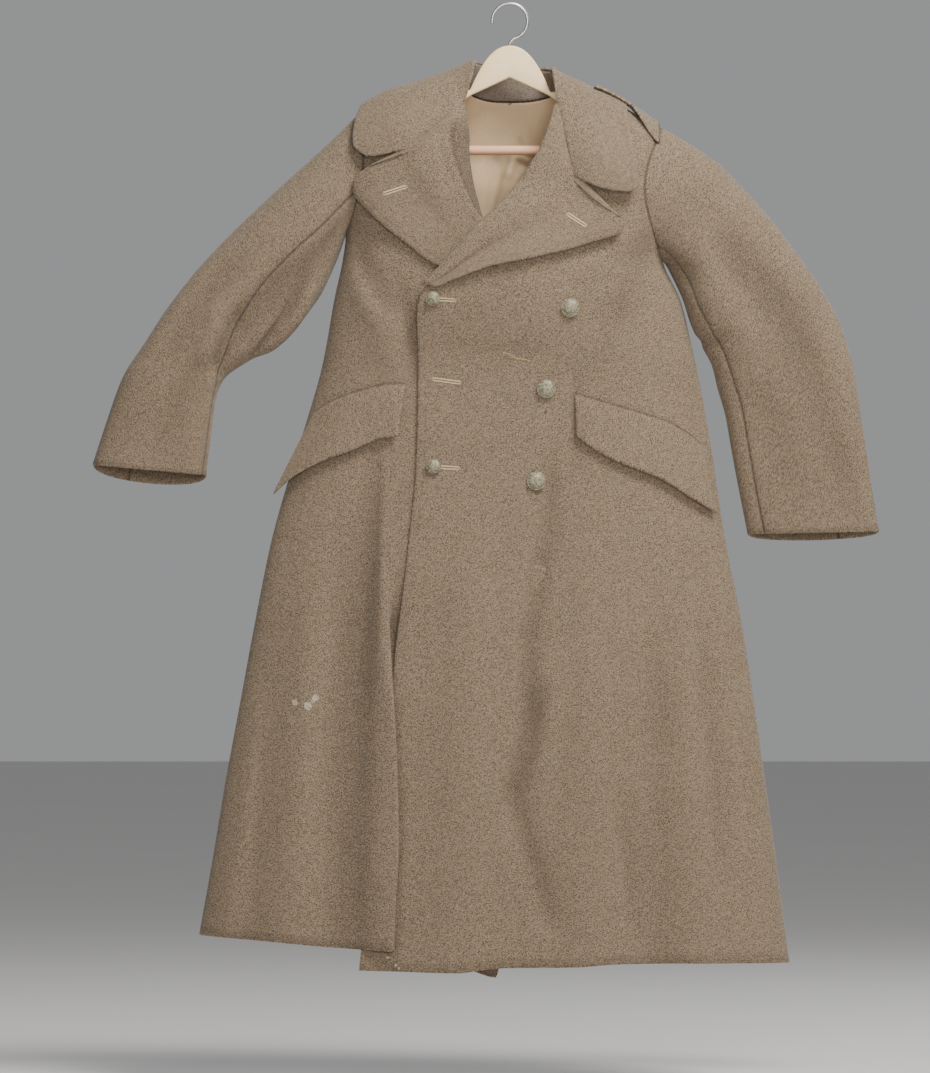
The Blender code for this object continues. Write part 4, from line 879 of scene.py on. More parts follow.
def lapel_grid(side):
    """A leaf that turns over the front's roll, with the facing that goes in behind or inside it, and painted shade
    on the right facing's strip and along the right roll.
    """
    down, across = LAPEL_GRID
    rows = (UNDER_LEAF[side],) + LAPELS[side]
    place = np.linspace(0, len(rows) - 1, down)
    p = np.maximum(place - 1, 0) / (len(rows) - 2)
    tucked = LAPEL_TUCK * smooth(1.0, 0.0, place)
    numbered = [(n, *row) for n, row in enumerate(rows)]
    roll_x, roll_z, edge_x, edge_z = (table(numbered, 0, column, place) for column in range(1, 5))
    length = np.hypot(edge_x - roll_x, edge_z - roll_z)
    way_x, way_z = (edge_x - roll_x) / length, (edge_z - roll_z) / length
    radius = LAPEL_OVER_FRONT
    base_x, base_z = roll_x + way_x * radius, roll_z + way_z * radius
    columns = []
    hollow = []
    if side == "right":
        inner_x, depth = row_at(FACING_INSIDE, p)
        for share in np.linspace(0, 1, 15):
            over = radius - depth * (1 - share) ** 1.6 - tucked
            columns.append(lapel_point(side, lerp(inner_x, roll_x, share), roll_z, over))
            # Painted shade over the right facing's strip as it turns in behind the roll, fading out at the roll
            # itself
            dark = (0.55 + 0.45 * smooth(0.5, 1.0, share)) * smooth(0.06, 0.3, p)
            hollow.append(smooth(1.0, 0.72, share) * dark)
    else:
        for back in np.linspace(1.0, 0.2, 4):
            reach = FACING_REACH * back
            columns.append(lapel_point(side, base_x + way_x * reach, base_z + way_z * reach,
                                       -radius - FACING_DROP + 0 * p))
        for step in np.linspace(0, 1, 11):
            turn = math.pi * step
            start = lapel_point(side, base_x, base_z,
                                -(radius + FACING_DROP * (1 - step)) * math.cos(turn) - tucked * step)
            out = radius * math.sin(turn)
            columns.append(pack(base_x - way_x * out, start[:, 1], base_z - way_z * out))
        hollow = [0 * p] * 15
    free = smooth(0.92, 0.66, p) if side == "right" else smooth(1.0, 0.85, p)
    for share in np.linspace(0, 1, across - 14)[1:]:
        reach = radius + (length - radius) * share
        puff = LAPEL_PUFF * math.sin(math.pi * min(share * 2.2, 1.0)) * smooth(0.0, 0.4, p)
        curl = LAPEL_CURL * smooth(0.45, 1.0, share) * smooth(-0.06, 0.22, p)
        x, z = roll_x + way_x * reach, roll_z + way_z * reach
        columns.append(lapel_point(side, x, z, radius + (puff + curl) * free - tucked))
        # A painted shadow line just beyond the roll of the right lapel
        hollow.append(smooth(0.05, 0.0, share) * 0.8 * smooth(0.15, 0.45, p) * (side == "right") + 0 * p)
    return np.stack(columns, axis=1), np.stack(hollow, axis=1)


def round_shoulder(x, t):
    """A point of the shell by its way round the shoulder: 0 on top, above 0 down the front."""
    x, t = np.broadcast_arrays(np.asarray(x, float), np.asarray(t, float))
    turn = np.minimum(np.abs(t), 1.0) * math.pi / 2
    past = np.maximum(np.abs(t) - 1.0, 0.0)
    z = table(SHOULDER_LINE, 0, 1, x) - SHOULDER_ROUNDING * (1 - np.cos(turn) + past)
    return pack(x, shell_y(x, z, t < 0), z)


def way_round(x, z, behind):
    """The way round the shoulder that reaches a height."""
    drop = (table(SHOULDER_LINE, 0, 1, x) - z) / SHOULDER_ROUNDING
    t = np.where(drop > 1, drop, np.arccos(1 - np.clip(drop, 0.0, 1.0)) * 2 / math.pi)
    return np.where(behind, -t, t)


def shoulder_out(x, t):
    step = 0.03
    across = round_shoulder(x + 0.004, t) - round_shoulder(x - 0.004, t)
    along = round_shoulder(x, t + step) - round_shoulder(x, t - step)
    return -unit(np.cross(across, along))


def fold_depth(fold_x, y, fold_z):
    """The collar's fold keeps its own depth at the neck and lies on the lapel in front."""
    if y is not None:
        return y
    side = "left" if fold_x > 0 else "right"
    return float(lapel_point(side, np.array(fold_x), np.array(fold_z), LAPEL_OVER_FRONT + GORGE_OVER_LAPEL)[1])


def leaf_point(position, share):
    """A point of the collar's leaf: share 0 at the fold and 1 at the outer edge."""
    position, share = np.broadcast_arrays(np.asarray(position, float), np.asarray(share, float))
    place = position * (len(COLLAR) - 1)
    from_end = np.minimum(place, len(COLLAR) - 1 - place)
    on_lapel = np.maximum(1 - from_end / 2, 0.0)
    rows = [(n, x, fold_depth(x, y, z), z, outer_x, float(way_round(outer_x, outer_z, way < 0)))
            for n, (x, y, z, outer_x, outer_z, way) in enumerate(COLLAR)]
    fold_x, fold_y, fold_z, outer_x, outer_t = (table(rows, 0, column, place) for column in range(1, 6))
    start_t = lerp(way_round(fold_x, fold_z, False), outer_t * 0.35, smooth(1.0, 4.0, from_end))
    x, t = lerp(fold_x, outer_x, share), lerp(start_t, outer_t, share)
    lift = LEAF_LIFT + LEAF_EDGE_LIFT * smooth(-0.05, 0.45, share) * smooth(2.0, 0.5, from_end)
    over_right = lerp(lift, LEAF_OVER_STRAP, smooth(0.5, 2.5, from_end))
    over_left = lift + left_front_lift(x, round_shoulder(x, t)[..., 2]) * smooth(0.0, 0.5, t)
    lift = np.where(x < 0, over_right, np.where(t > 0, over_left, lift))
    laid = round_shoulder(x, t) + shoulder_out(x, t) * lift[..., None]
    settled = smooth(0.0, lerp(0.62, 0.12, smooth(0.0, 1.0, on_lapel)), share)
    point = lerp(pack(fold_x, fold_y, fold_z), laid, settled[..., None])
    rise = LEAF_RISE * np.sin(math.pi * np.minimum(share * 1.8, 1.0)) * (1 - on_lapel)
    bulge = np.where(x > 0, LEAF_BULGE_LEFT, LEAF_BULGE_RIGHT)
    corner = LEAF_CORNER * np.sin(math.pi * np.minimum(from_end, 1.0)) * share ** 3
    point[..., 0] += corner * np.sign(x)
    point[..., 2] -= corner * 0.8
    point[..., 2] += rise - bulge * np.sin(math.pi * share) * smooth(1.0, 0.0, from_end)
    return point


def leaf_grid():
    stations, across = LEAF_GRID
    return leaf_point(np.linspace(0, 1, stations)[:, None], np.linspace(0, 1, across)[None, :])


def stand_grid():
    """The upright band inside the collar, from the neck seam to just under the fold."""
    stations, across = STAND_GRID
    share = np.linspace(0, 1, stations)
    fold = leaf_point(lerp(STAND_FROM_ROW, STAND_TO_ROW, share) / (len(COLLAR) - 1), 0.0)
    foot_x = lerp(NECK_RIGHT, NECK_LEFT, (1 - np.cos(math.pi * share)) / 2) * 0.94
    foot_z = neck_line(foot_x) + STAND_ABOVE_SEAM
    foot = on_shell(foot_x, foot_z, True)
    inward = unit(pack(-fold[:, 0], -fold[:, 1] * 0.8, 0.0))
    top = fold + inward * lerp(0.0024, 0.0064, np.sin(math.pi * share))[:, None]
    top[:, 2] -= 0.003
    return lerp(foot[:, None], top[:, None], np.linspace(0, 1, across)[None, :, None])


def flap_grid(side):
    rows, columns = FLAP_GRID
    x_top, z_top, z_low, lift, x_low = [v[:, None] for v in row_at(FLAPS[side], np.linspace(0, 1, rows))]
    share = np.linspace(0, 1, columns)[None, :]
    x, z = lerp(x_top, x_low, share), lerp(z_top, z_low, share)
    held_x = np.copysign(np.minimum(np.abs(x), np.abs(side_line(side, z)) * 0.93), x)
    past = np.abs(x) - np.abs(held_x)
    base = front_point(side, held_x, z)
    over = FLAP_OVER_FRONT + lift * share ** 1.5 + 0.0015 * np.sin(math.pi * share)
    return base + out_of_shell(held_x, z) * over[..., None] + pack(np.copysign(past, x), past * 0.55, 0.0)


def strap_grid(side, x_arm, x_neck):
    rows, columns = STRAP_GRID
    share, place = np.linspace(0, 1, rows)[:, None], np.linspace(-1, 1, columns)[None, :]
    x = lerp(x_arm, x_neck, share) + 0 * place
    half = STRAP_HALF_WIDTH * lerp(1.0, STRAP_NARROWING, share)
    t = -place * STRAP_WRAP + 0 * share
    lying = round_shoulder(x, t) + shoulder_out(x, t) * STRAP_LYING
    if side == "right":
        return lying
    rise = STRAP_STAND + STRAP_RISE * np.sqrt(share) - STRAP_CAMBER * place * place
    free = pack(x, half * place + 0.002, table(SHOULDER_LINE, 0, 1, x) + rise)
    return lerp(lying, free, smooth(0.0, 0.45, share)[..., None])


def lining_grid():
    rows, columns = LINING_GRID
    share, u = np.linspace(0, 1, rows)[:, None], np.linspace(-1, 1, columns)[None, :]
    x = u * lerp(LINING_HALF_TOP, LINING_HALF_FOOT, smooth(0.0, 0.4, share))
    z = lerp(neck_line(u * LINING_HALF_TOP) - LINING_UNDER_NECK, LINING_FOOT, share)
    height = lerp(LINING_AT_SEAM, LINING_OFF_BACK, smooth(0.0, 0.2, share)) + 0 * u
    for crease in LINING_CREASES:
        height = height + crease_height(x, z, *crease) * smooth(0.02, 0.1, share)
    return pack(x, shell_y(x, z, True) + drape("back", x, z) - np.maximum(height, 0.0024), z)


# Shader maths written as expressions

class Value:
    """A number inside a material, on which Python's operators make Math nodes."""

    def __init__(self, finish, socket):
        self.finish, self.socket = finish, socket

    def math(self, operation, *others, swap=False):
        terms = [self, *others]
        if swap:
            terms.reverse()
        node = self.finish.tree.nodes.new("ShaderNodeMath")
        node.operation = operation
        for slot, term in zip(node.inputs, terms):
            self.finish.feed(slot, term)
        return Value(self.finish, node.outputs[0])

    def __add__(self, other): return self.math("ADD", other)
    def __radd__(self, other): return self.math("ADD", other)
    def __sub__(self, other): return self.math("SUBTRACT", other)
    def __rsub__(self, other): return self.math("SUBTRACT", other, swap=True)
    def __mul__(self, other): return self.math("MULTIPLY", other)
    def __rmul__(self, other): return self.math("MULTIPLY", other)
    def absolute(self): return self.math("ABSOLUTE")
    def sine(self): return self.math("SINE")

    def ramp(self, low, high):
        """0 below low, 1 above high, smooth between; low may be the larger."""
        start, end = (0.0, 1.0) if low < high else (1.0, 0.0)
        limits = {"Value": self, "From Min": min(low, high), "From Max": max(low, high),
                  "To Min": start, "To Max": end}
        return self.finish.node("ShaderNodeMapRange", limits, output="Result", interpolation_type="SMOOTHSTEP")


class Finish:
    """One procedural material and the nodes that it is made of."""

    def __init__(self, name, **constants):
        self.material = bpy.data.materials.new(name)
        self.material.use_nodes = True
        self.tree = self.material.node_tree
        self.shader = self.tree.nodes["Principled BSDF"]
        for socket, value in constants.items():
            self.shader.inputs[socket.replace("_", " ")].default_value = value
        self.place = self.node("ShaderNodeTexCoord", output="Object")

    def feed(self, socket, term):
        if isinstance(term, Value):
            self.tree.links.new(term.socket, socket)
        elif hasattr(term, "__len__") and len(term) == 3 and socket.type == "RGBA":
            socket.default_value = (*term, 1.0)
        else:
            socket.default_value = term

    def node(self, kind, inputs=(), output=0, **settings):
        """Any node by its kind, with its inputs by name and its settings."""
        made = self.tree.nodes.new(kind)
        for key, value in settings.items():
            setattr(made, key, value)
        for key, value in dict(inputs).items():
            self.feed(made.inputs[key], value)
        return Value(self, made.outputs[output])

    def vector(self, operation, *terms, output=0):
        return self.node("ShaderNodeVectorMath", dict(enumerate(terms)), output, operation=operation)

    def attribute(self, name, output="Fac"):
        return self.node("ShaderNodeAttribute", output=output, attribute_name=name)

    def noise(self, scale, detail=2.0, roughness=0.5, place=None, stretch=(1.0, 1.0, 1.0), shift=0.0):
        spot = self.vector("MULTIPLY", place or self.place, tuple(scale * s for s in stretch))
        if shift:
            spot = self.vector("ADD", spot, (shift, 2 * shift, -shift))
        return self.node("ShaderNodeTexNoise", {"Vector": spot, "Scale": 1.0, "Detail": detail,
                                                "Roughness": roughness}, output="Fac")

    def mix(self, share, a, b, blend="MIX"):
        made = self.tree.nodes.new("ShaderNodeMix")
        made.data_type, made.blend_type = "RGBA", blend
        self.feed(made.inputs["Factor"], share)
        colours = [socket for socket in made.inputs if socket.type == "RGBA"]
        self.feed(colours[0], a)
        self.feed(colours[1], b)
        result = [socket for socket in made.outputs if socket.type == "RGBA"]
        return Value(self, result[0])

    def spot(self, centre, radius, edge=0.35):
        """1 inside a ball about a point of the coat's front, seen along Y, soft at its rim."""
        flat = self.vector("MULTIPLY", self.place, (1.0, 0.0, 1.0))
        away = self.vector("DISTANCE", flat, (centre[0], 0.0, centre[1]), output="Value")
        wobble = self.noise(1.6 / radius, 2.0, 0.6) - 0.5
        return (away + wobble * radius * 0.9).ramp(radius, radius * (1 - edge))

    def done(self, colour, roughness, height=None, strength=0.5, reach=0.0004):
        self.feed(self.shader.inputs["Base Color"], colour)
        self.feed(self.shader.inputs["Roughness"], roughness)
        if height is not None:
            bump = self.node("ShaderNodeBump", {"Height": height, "Strength": strength, "Distance": reach},
                             output="Normal")
            self.feed(self.shader.inputs["Normal"], bump)
        return self.material


def shaded(colour, share):
    return tuple(share * c for c in colour)


# Colours, linear
WOOL_BASE = (0.158, 0.117, 0.077)
WOOL_DARK = (0.05, 0.037, 0.025)
WOOL_LIGHT = (0.29, 0.224, 0.156)
WOOL_GREY = (0.13, 0.128, 0.11)
WOOL_RUST = (0.205, 0.118, 0.056)
FELT_DARK = (0.135, 0.112, 0.09)
LINING_BASE = (0.66, 0.475, 0.285)
LINING_PALE = (0.73, 0.545, 0.345)
THREAD_PALE = (0.62, 0.5, 0.3)
THREAD_KHAKI = (0.2, 0.146, 0.094)
THREAD_YELLOW = (0.62, 0.48, 0.2)
STAIN_PALE = (0.52, 0.45, 0.36)
BRASS_PALE = (0.37, 0.34, 0.235)
BRASS_WORN = (0.56, 0.5, 0.35)
BRASS_DARK = (0.09, 0.08, 0.045)
WOOD_PALE = (1.0, 0.77, 0.43)
WOOD_GRAIN = (0.96, 0.68, 0.35)
BAR_PINK = (0.85, 0.47, 0.28)
BAR_GRAIN = (0.68, 0.4, 0.26)

STAINS = (  # x, z, radius, strength
    (-0.2905, -0.945, 0.0046, 0.75), (-0.273, -0.9495, 0.0066, 0.8), (-0.2625, -0.9385, 0.005, 0.85),
    (-0.266, -0.943, 0.0035, 0.55), (-0.165, -1.289, 0.0028, 0.9), (-0.154, -1.2995, 0.0024, 0.9),
    (-0.15, -1.3035, 0.002, 0.8),
)
SPECKS = ((0.027, -0.43, 0.0018), (0.042, -0.458, 0.0016), (0.048, -0.553, 0.0028), (0.03, -0.479, 0.0014))


def wool_material(name, hem_line=0.0085, stitched=1.0, stains=False):
    """Heathered wool melton: mixed dark, light and rusty fibres, a felted nap and paler patches along the edges."""
    f = Finish(name, Sheen_Weight=0.12, Sheen_Roughness=0.5, Specular_IOR_Level=0.15)
    lay = f.attribute("cloth_way", "Vector")
    along = f.noise(820.0, 2.0, 0.65, place=lay, stretch=(1.0, 0.62, 1.0))
    cross = f.noise(880.0, 2.0, 0.65, place=lay, stretch=(0.62, 1.0, 1.0), shift=7.3)
    fibre = f.noise(2200.0, 2.0, 0.7, shift=2.1)
    fleck = f.noise(480.0, 2.0, 0.6, shift=5.7)
    cool = f.noise(430.0, 2.0, 0.6, shift=8.2)
    yarn = along * 0.5 + cross * 0.5
    mottle = f.noise(150.0, 3.0, 0.6, shift=1.3)
    broad = f.noise(9.0, 3.0, 0.5, shift=9.1)
    colour = f.mix(yarn.ramp(0.45, 0.58), WOOL_BASE, WOOL_LIGHT)
    colour = f.mix(yarn.ramp(0.5, 0.41) * 0.9, colour, WOOL_DARK)
    colour = f.mix(fleck.ramp(0.5, 0.68) * 0.55, colour, WOOL_RUST)
    colour = f.mix(cool.ramp(0.52, 0.7) * 0.55, colour, WOOL_GREY)
    tone = 0.86 + fibre * 0.28 + (mottle - 0.5) * 0.45 + (broad - 0.5) * 0.16
    way = f.attribute("edge_way")
    # Painted shade in the groove that the edge stitching presses in
    groove = (way - hem_line).absolute().ramp(0.0016, 0.0002) * stitched
    # Paler tone in patches along the open edges
    rim = way.ramp(0.0024, 0.0004) * f.noise(160.0, 2.0, 0.6, shift=4.4).ramp(0.35, 0.65)
    # Painted shade along the seams, and by the hollow attribute in fold troughs, on the facing strip and beside the
    # long fold
    seam, depth = f.attribute("seam_way").ramp(0.0034, 0.0004), f.attribute("hollow")
    tone = (tone - groove * 0.1 + rim * 0.16) * (1.0 - seam * 0.45) * (1.0 - depth * 0.58)
    shade = f.node("ShaderNodeCombineColor", {"Red": tone, "Green": tone, "Blue": tone})
    colour = f.mix(1.0, colour, shade, blend="MULTIPLY")
    if stains:
        for x, z, radius, strength in STAINS:
            patch = f.spot((x, z), radius) * f.noise(420.0, 2.0, 0.6, shift=3.3).ramp(0.25, 0.6)
            colour = f.mix(patch * strength, colour, STAIN_PALE)
        for x, z, radius in SPECKS:
            colour = f.mix(f.spot((x, z), radius) * 0.7, colour, WOOL_DARK)
    height = yarn * 0.55 + fibre * 0.45 + mottle * 0.25 - groove * 0.4
    return f.done(colour, 0.88 + fibre * 0.08, height, strength=0.5, reach=0.0005)


def felt_material(name):
    """The darker wool under the collar and inside the neck."""
    f = Finish(name, Sheen_Weight=0.15, Specular_IOR_Level=0.15)
    fibre = f.noise(800.0, 3.0, 0.7)
    weave = f.noise(300.0, 2.0, 0.5, shift=3.0)
    colour = f.mix(fibre.ramp(0.35, 0.7), FELT_DARK, shaded(FELT_DARK, 1.9))
    colour = f.mix(weave.ramp(0.5, 0.75) * 0.5, colour, WOOL_DARK)
    return f.done(colour, 0.92 + fibre * 0.05, fibre + weave * 0.5, strength=0.4, reach=0.0004)


def lining_material(name):
    """Golden beige cotton twill with its fine diagonal ribs."""
    f = Finish(name, Sheen_Weight=0.1, Specular_IOR_Level=0.3)
    lay = f.attribute("cloth_way", "Vector")
    slant = f.vector("DOT_PRODUCT", lay, (1.0, 0.72, 0.0), output="Value")
    rib = (slant * 2800.0).sine() * 0.5 + 0.5
    slub = f.noise(260.0, 2.0, 0.6, place=lay, stretch=(1.0, 0.2, 1.0))
    worn = f.noise(30.0, 3.0, 0.6, shift=6.0)
    colour = f.mix(worn.ramp(0.4, 0.7) * 0.6 + slub.ramp(0.45, 0.7) * 0.35, LINING_BASE, LINING_PALE)
    colour = f.mix(rib.ramp(0.55, 0.05) * 0.28, colour, shaded(LINING_BASE, 0.62))
    return f.done(colour, 0.62 + slub * 0.14, rib * 0.7 + slub * 0.5, strength=0.35, reach=0.0003)


def thread_material(name, colour):
    f = Finish(name, Specular_IOR_Level=0.3)
    twist = f.noise(1500.0, 2.0, 0.6)
    shade = f.mix(twist.ramp(0.35, 0.65), shaded(colour, 0.72), shaded(colour, 1.12))
    return f.done(shade, 0.72 + twist * 0.1, twist, strength=0.4, reach=0.0002)


def brass_material(name):
    """Aged brass with a pale greenish bloom, darker in its hollows and bright where it is rubbed."""
    f = Finish(name, Specular_IOR_Level=0.5)
    bloom = f.noise(420.0, 4.0, 0.65)
    pits = f.noise(1300.0, 3.0, 0.7, shift=2.0)
    rise = f.node("ShaderNodeNewGeometry", output="Pointiness")
    hollow = rise.ramp(0.5, 0.42)
    rubbed = rise.ramp(0.52, 0.6) * bloom.ramp(0.35, 0.6)
    colour = f.mix(bloom.ramp(0.4, 0.62), BRASS_PALE, shaded(BRASS_PALE, 0.42))
    colour = f.mix(hollow * 0.85, colour, BRASS_DARK)
    colour = f.mix(rubbed * 0.7, colour, BRASS_WORN)
    f.feed(f.shader.inputs["Metallic"], 0.55 + rubbed * 0.35)
    return f.done(colour, 0.58 - rubbed * 0.2 + pits * 0.12, bloom * 0.5 + pits * 0.5, strength=0.35, reach=0.0002)


def wood_material(name, base, grain, stretch, gloss):
    """Plain varnished wood: long uneven grain, fine pores and slight dents."""
    f = Finish(name, Coat_Weight=gloss, Coat_Roughness=0.25, Specular_IOR_Level=0.4)
    bend = f.noise(9.0, 2.0, 0.5)
    rings = f.noise(70.0, 3.0, 0.6, stretch=stretch)
    line = ((rings * 9.0 + bend * 3.0) * 6.2832).sine() * 0.5 + 0.5
    pores = f.noise(900.0, 2.0, 0.6, stretch=stretch, shift=4.0)
    colour = f.mix(line.ramp(0.35, 0.95) * 0.45, base, grain)
    colour = f.mix(pores.ramp(0.6, 0.78) * 0.35, colour, shaded(grain, 0.75))
    return f.done(colour, 0.42 + pores * 0.18, pores * -0.5 + line * 0.2, strength=0.25, reach=0.0003)


def steel_material(name):
    f = Finish(name, Metallic=1.0)
    drawn = f.noise(500.0, 2.0, 0.5, stretch=(1.0, 1.0, 0.15))
    colour = f.mix(drawn, (0.42, 0.42, 0.41), (0.62, 0.62, 0.61))
    return f.done(colour, 0.28 + drawn * 0.15, drawn, strength=0.15, reach=0.0002)


FINISHES = {  # finish: what makes it, the material's name, and what else it is made from
    "wool": (wool_material, "greatcoat_wool"),
    "wool_skirt": (wool_material, "greatcoat_wool_front", 0.0095, 1.0, True),
    "wool_plain": (wool_material, "greatcoat_wool_plain", 0.0095),
    "wool_bare": (wool_material, "greatcoat_wool_unstitched", 0.0085, 0.0),
    "felt": (felt_material, "collar_stand_wool"),
    "lining": (lining_material, "lining_twill"),
    "thread_pale": (thread_material, "buttonhole_thread", THREAD_PALE),
    "thread_khaki": (thread_material, "seam_thread", THREAD_KHAKI),
    "thread_yellow": (thread_material, "tacking_thread", THREAD_YELLOW),
    "dark": (thread_material, "hole_shadow", shaded(WOOL_DARK, 0.25)),
    "brass": (brass_material, "aged_brass"),
    "wood": (wood_material, "pale_wood", WOOD_PALE, WOOD_GRAIN, (0.1, 1.0, 1.0), 0.35),
    "bar": (wood_material, "bar_wood", BAR_PINK, BAR_GRAIN, (0.06, 1.0, 1.0), 0.1),
    "steel": (steel_material, "hook_steel"),
}
MATERIALS = {}


def finish_of(key):
    """Each finish is made once and shared by the pieces that wear it."""
    if key not in MATERIALS:
        maker, *needs = FINISHES[key]
        MATERIALS[key] = maker(*needs)
    return MATERIALS[key]


# Geometry Nodes for what repeats: stitches along a line, and thread along short runs

class Tree:
    """A Geometry Nodes tree for what runs along lines, with its numbers and material as named inputs."""

    def __init__(self, name, **numbers):
        self.group = bpy.data.node_groups.new(name, "GeometryNodeTree")
        sockets = self.group.interface
        sockets.new_socket("Geometry", in_out="INPUT", socket_type="NodeSocketGeometry")
        for label, value in numbers.items():
            sockets.new_socket(label, in_out="INPUT", socket_type="NodeSocketFloat").default_value = value
        sockets.new_socket("Material", in_out="INPUT", socket_type="NodeSocketMaterial")
        sockets.new_socket("Geometry", in_out="OUTPUT", socket_type="NodeSocketGeometry")
        self.given = self.group.nodes.new("NodeGroupInput").outputs

    def node(self, kind, values=(), **setup):
        """The result of a new node, whose inputs are links or plain values."""
        made = self.group.nodes.new(kind)
        for key, value in setup.items():
            setattr(made, key, value)
        for key, value in dict(values).items():
            if isinstance(value, bpy.types.NodeSocket):
                self.group.links.new(value, made.inputs[key])
            else:
                made.inputs[key].default_value = value
        return made.outputs[0]

    def finished(self, pieces):
        """End the tree with real, painted pieces."""
        real = self.node("GeometryNodeRealizeInstances", {"Geometry": pieces})
        painted = self.node("GeometryNodeSetMaterial", {"Geometry": real, "Material": self.given["Material"]})
        self.group.links.new(painted, self.group.nodes.new("NodeGroupOutput").inputs["Geometry"])
        return self.group


def stitch_group():
    """Rounded stitches at an even pitch, each a little crooked, along every line."""
    tree = Tree("stitches_along_lines", Pitch=0.004, Length=0.003, Radius=0.0003)
    given, node = tree.given, tree.node
    line = node("GeometryNodeMeshToCurve", {"Mesh": given["Geometry"]})
    spots = node("GeometryNodeResampleCurve", {"Curve": line, "Length": given["Pitch"]}, mode="LENGTH")
    ball = node("GeometryNodeMeshUVSphere", {"Segments": 6, "Rings": 4, "Radius": 1.0})
    half = node("ShaderNodeMath", {0: given["Length"], 1: 0.5}, operation="MULTIPLY")
    size = node("ShaderNodeCombineXYZ", {"X": given["Radius"], "Y": given["Radius"], "Z": half})
    limits = {"Min": (-0.1,) * 3, "Max": (0.1,) * 3, "Seed": 7}
    crook = node("FunctionNodeRandomValue", limits, data_type="FLOAT_VECTOR")
    lean = node("ShaderNodeVectorMath", {0: node("GeometryNodeInputTangent"), 1: crook})
    turn = node("FunctionNodeAlignRotationToVector", {"Vector": lean}, axis="Z")
    laid = {"Points": spots, "Instance": ball, "Rotation": turn, "Scale": size}
    return tree.finished(node("GeometryNodeInstanceOnPoints", laid))


def thread_group():
    """A round thread with closed ends along every line."""
    tree = Tree("thread_along_lines", Radius=0.0004)
    line = tree.node("GeometryNodeMeshToCurve", {"Mesh": tree.given["Geometry"]})
    ring = tree.node("GeometryNodeCurvePrimitiveCircle", {"Resolution": 6, "Radius": tree.given["Radius"]})
    tube = {"Curve": line, "Profile Curve": ring, "Fill Caps": True}
    return tree.finished(tree.node("GeometryNodeCurveToMesh", tube))


GROUPS = {}


def along_lines(name, lines, kind, finish, **numbers):
    """Turn polylines into stitches or thread, as one plain mesh piece."""
    if kind not in GROUPS:
        GROUPS[kind] = {"stitches": stitch_group, "thread": thread_group}[kind]()
    points, edges = [], []
    for line in lines:
        edges += [(len(points) + n, len(points) + n + 1) for n in range(len(line) - 1)]
        points += [tuple(p) for p in line]
    mesh = bpy.data.meshes.new(name + "_lines")
    mesh.from_pydata(points, edges, [])
    source = linked(name + "_source", mesh)
    modifier = source.modifiers.new(kind, "NODES")
    modifier.node_group = GROUPS[kind]
    numbers["Material"] = finish_of(finish)
    for item in GROUPS[kind].interface.items_tree:
        if item.in_out == "INPUT" and item.name in numbers:
            modifier[item.identifier] = numbers[item.name]
    graph = bpy.context.evaluated_depsgraph_get()
    made = bpy.data.meshes.new_from_object(source.evaluated_get(graph), depsgraph=graph)
    made.name = name
    made.shade_smooth()
    bpy.data.objects.remove(source, do_unlink=True)
    bpy.data.meshes.remove(mesh)
    place(linked(name, made), None, "greatcoat_wool")


def edge_stitching(name, lines, s, radius=0.00034):
    pitch = s.stitch_pitch
    along_lines(name, lines, "stitches", "thread_khaki", Pitch=pitch, Length=pitch * 0.75, Radius=radius)


def seen_from_front(obj, x, z, over):
    """The point of a piece that shows in front at x and z, moved out by a height."""
    hit, spot, normal, _ = obj.ray_cast(Vector((x, -1.0, z)), Vector((0, 1, 0)))
    if not hit:
        raise RuntimeError(f"nothing of {obj.name} shows at {x:.3f}, {z:.3f}")
    return np.array(spot + normal.normalized() * over)


# Working parts: buttonholes, buttons and the hanger

BUTTONHOLES = (  # piece, x, z of the middle, half length, slope in degrees
    ("front_left", -0.0905, -0.4014, 0.0155, -3.0),
    ("front_left", -0.0858, -0.5108, 0.018, -8.0),
    ("front_left", -0.0865, -0.6276, 0.0165, -4.0),
    ("lapel_right", -0.1554, -0.2534, 0.0155, 17.7),
    ("lapel_left", 0.0899, -0.2939, 0.014, -33.0),
)
PURL_PITCH = 0.00072
PURL_NEAR, PURL_FAR = 0.0006, 0.0026
PURL_RADIUS = 0.00044


def buttonhole_lines(obj, x, z, half, slope):
    """The purl stitches round a buttonhole and the slit between them."""
    way = np.array([math.cos(math.radians(slope)), math.sin(math.radians(slope))])
    side = np.array([-way[1], way[0]])
    middle = np.array([x, z])
    straight, round_end = 2 * half, math.pi * PURL_NEAR
    purls = []
    for n in range(int(2 * (straight + round_end) / PURL_PITCH)):
        s = n * PURL_PITCH
        back = s >= straight + round_end
        along = s - straight - round_end if back else s
        turn = max(along - straight, 0.0) / PURL_NEAR
        base = way * (min(along, straight) - half)
        out = side * math.cos(turn) + way * math.sin(turn)
        if back:
            base, out = -base, -out
        sway = 0.00016 * math.sin(2.3 * n) * way
        ends = [middle + base + out * reach + sway for reach in (PURL_NEAR, PURL_FAR)]
        purls.append([seen_from_front(obj, *end, 0.0002) for end in ends])
    return purls, [seen_from_front(obj, *(middle + way * s), -0.0001) for s in np.linspace(-half, half, 9)]


def loft(name, rings, finish, node, slot):
    """A hard piece as a closed mesh over rings of points, with flat ends."""
    rings = np.asarray(rings, float)
    points = rings.reshape(-1, 3)
    number = np.arange(len(points)).reshape(rings.shape[:2])
    after = np.roll(number, -1, axis=1)
    faces = np.stack([number[:-1].ravel(), after[:-1].ravel(), after[1:].ravel(), number[1:].ravel()], 1)
    volume = volume_of(points[faces])
    for ring, sign in ((rings[0], -1), (rings[-1], 1)):
        volume += sign * sum(np.dot(ring[0], np.cross(a, b)) for a, b in zip(ring[1:-1], ring[2:]))
    ends = [number[0][::-1].tolist(), number[-1].tolist()]
    obj = smooth_mesh(name, points, faces.tolist() + ends, finish_of(finish), 38, turned=volume < 0)
    place(obj, node, slot)


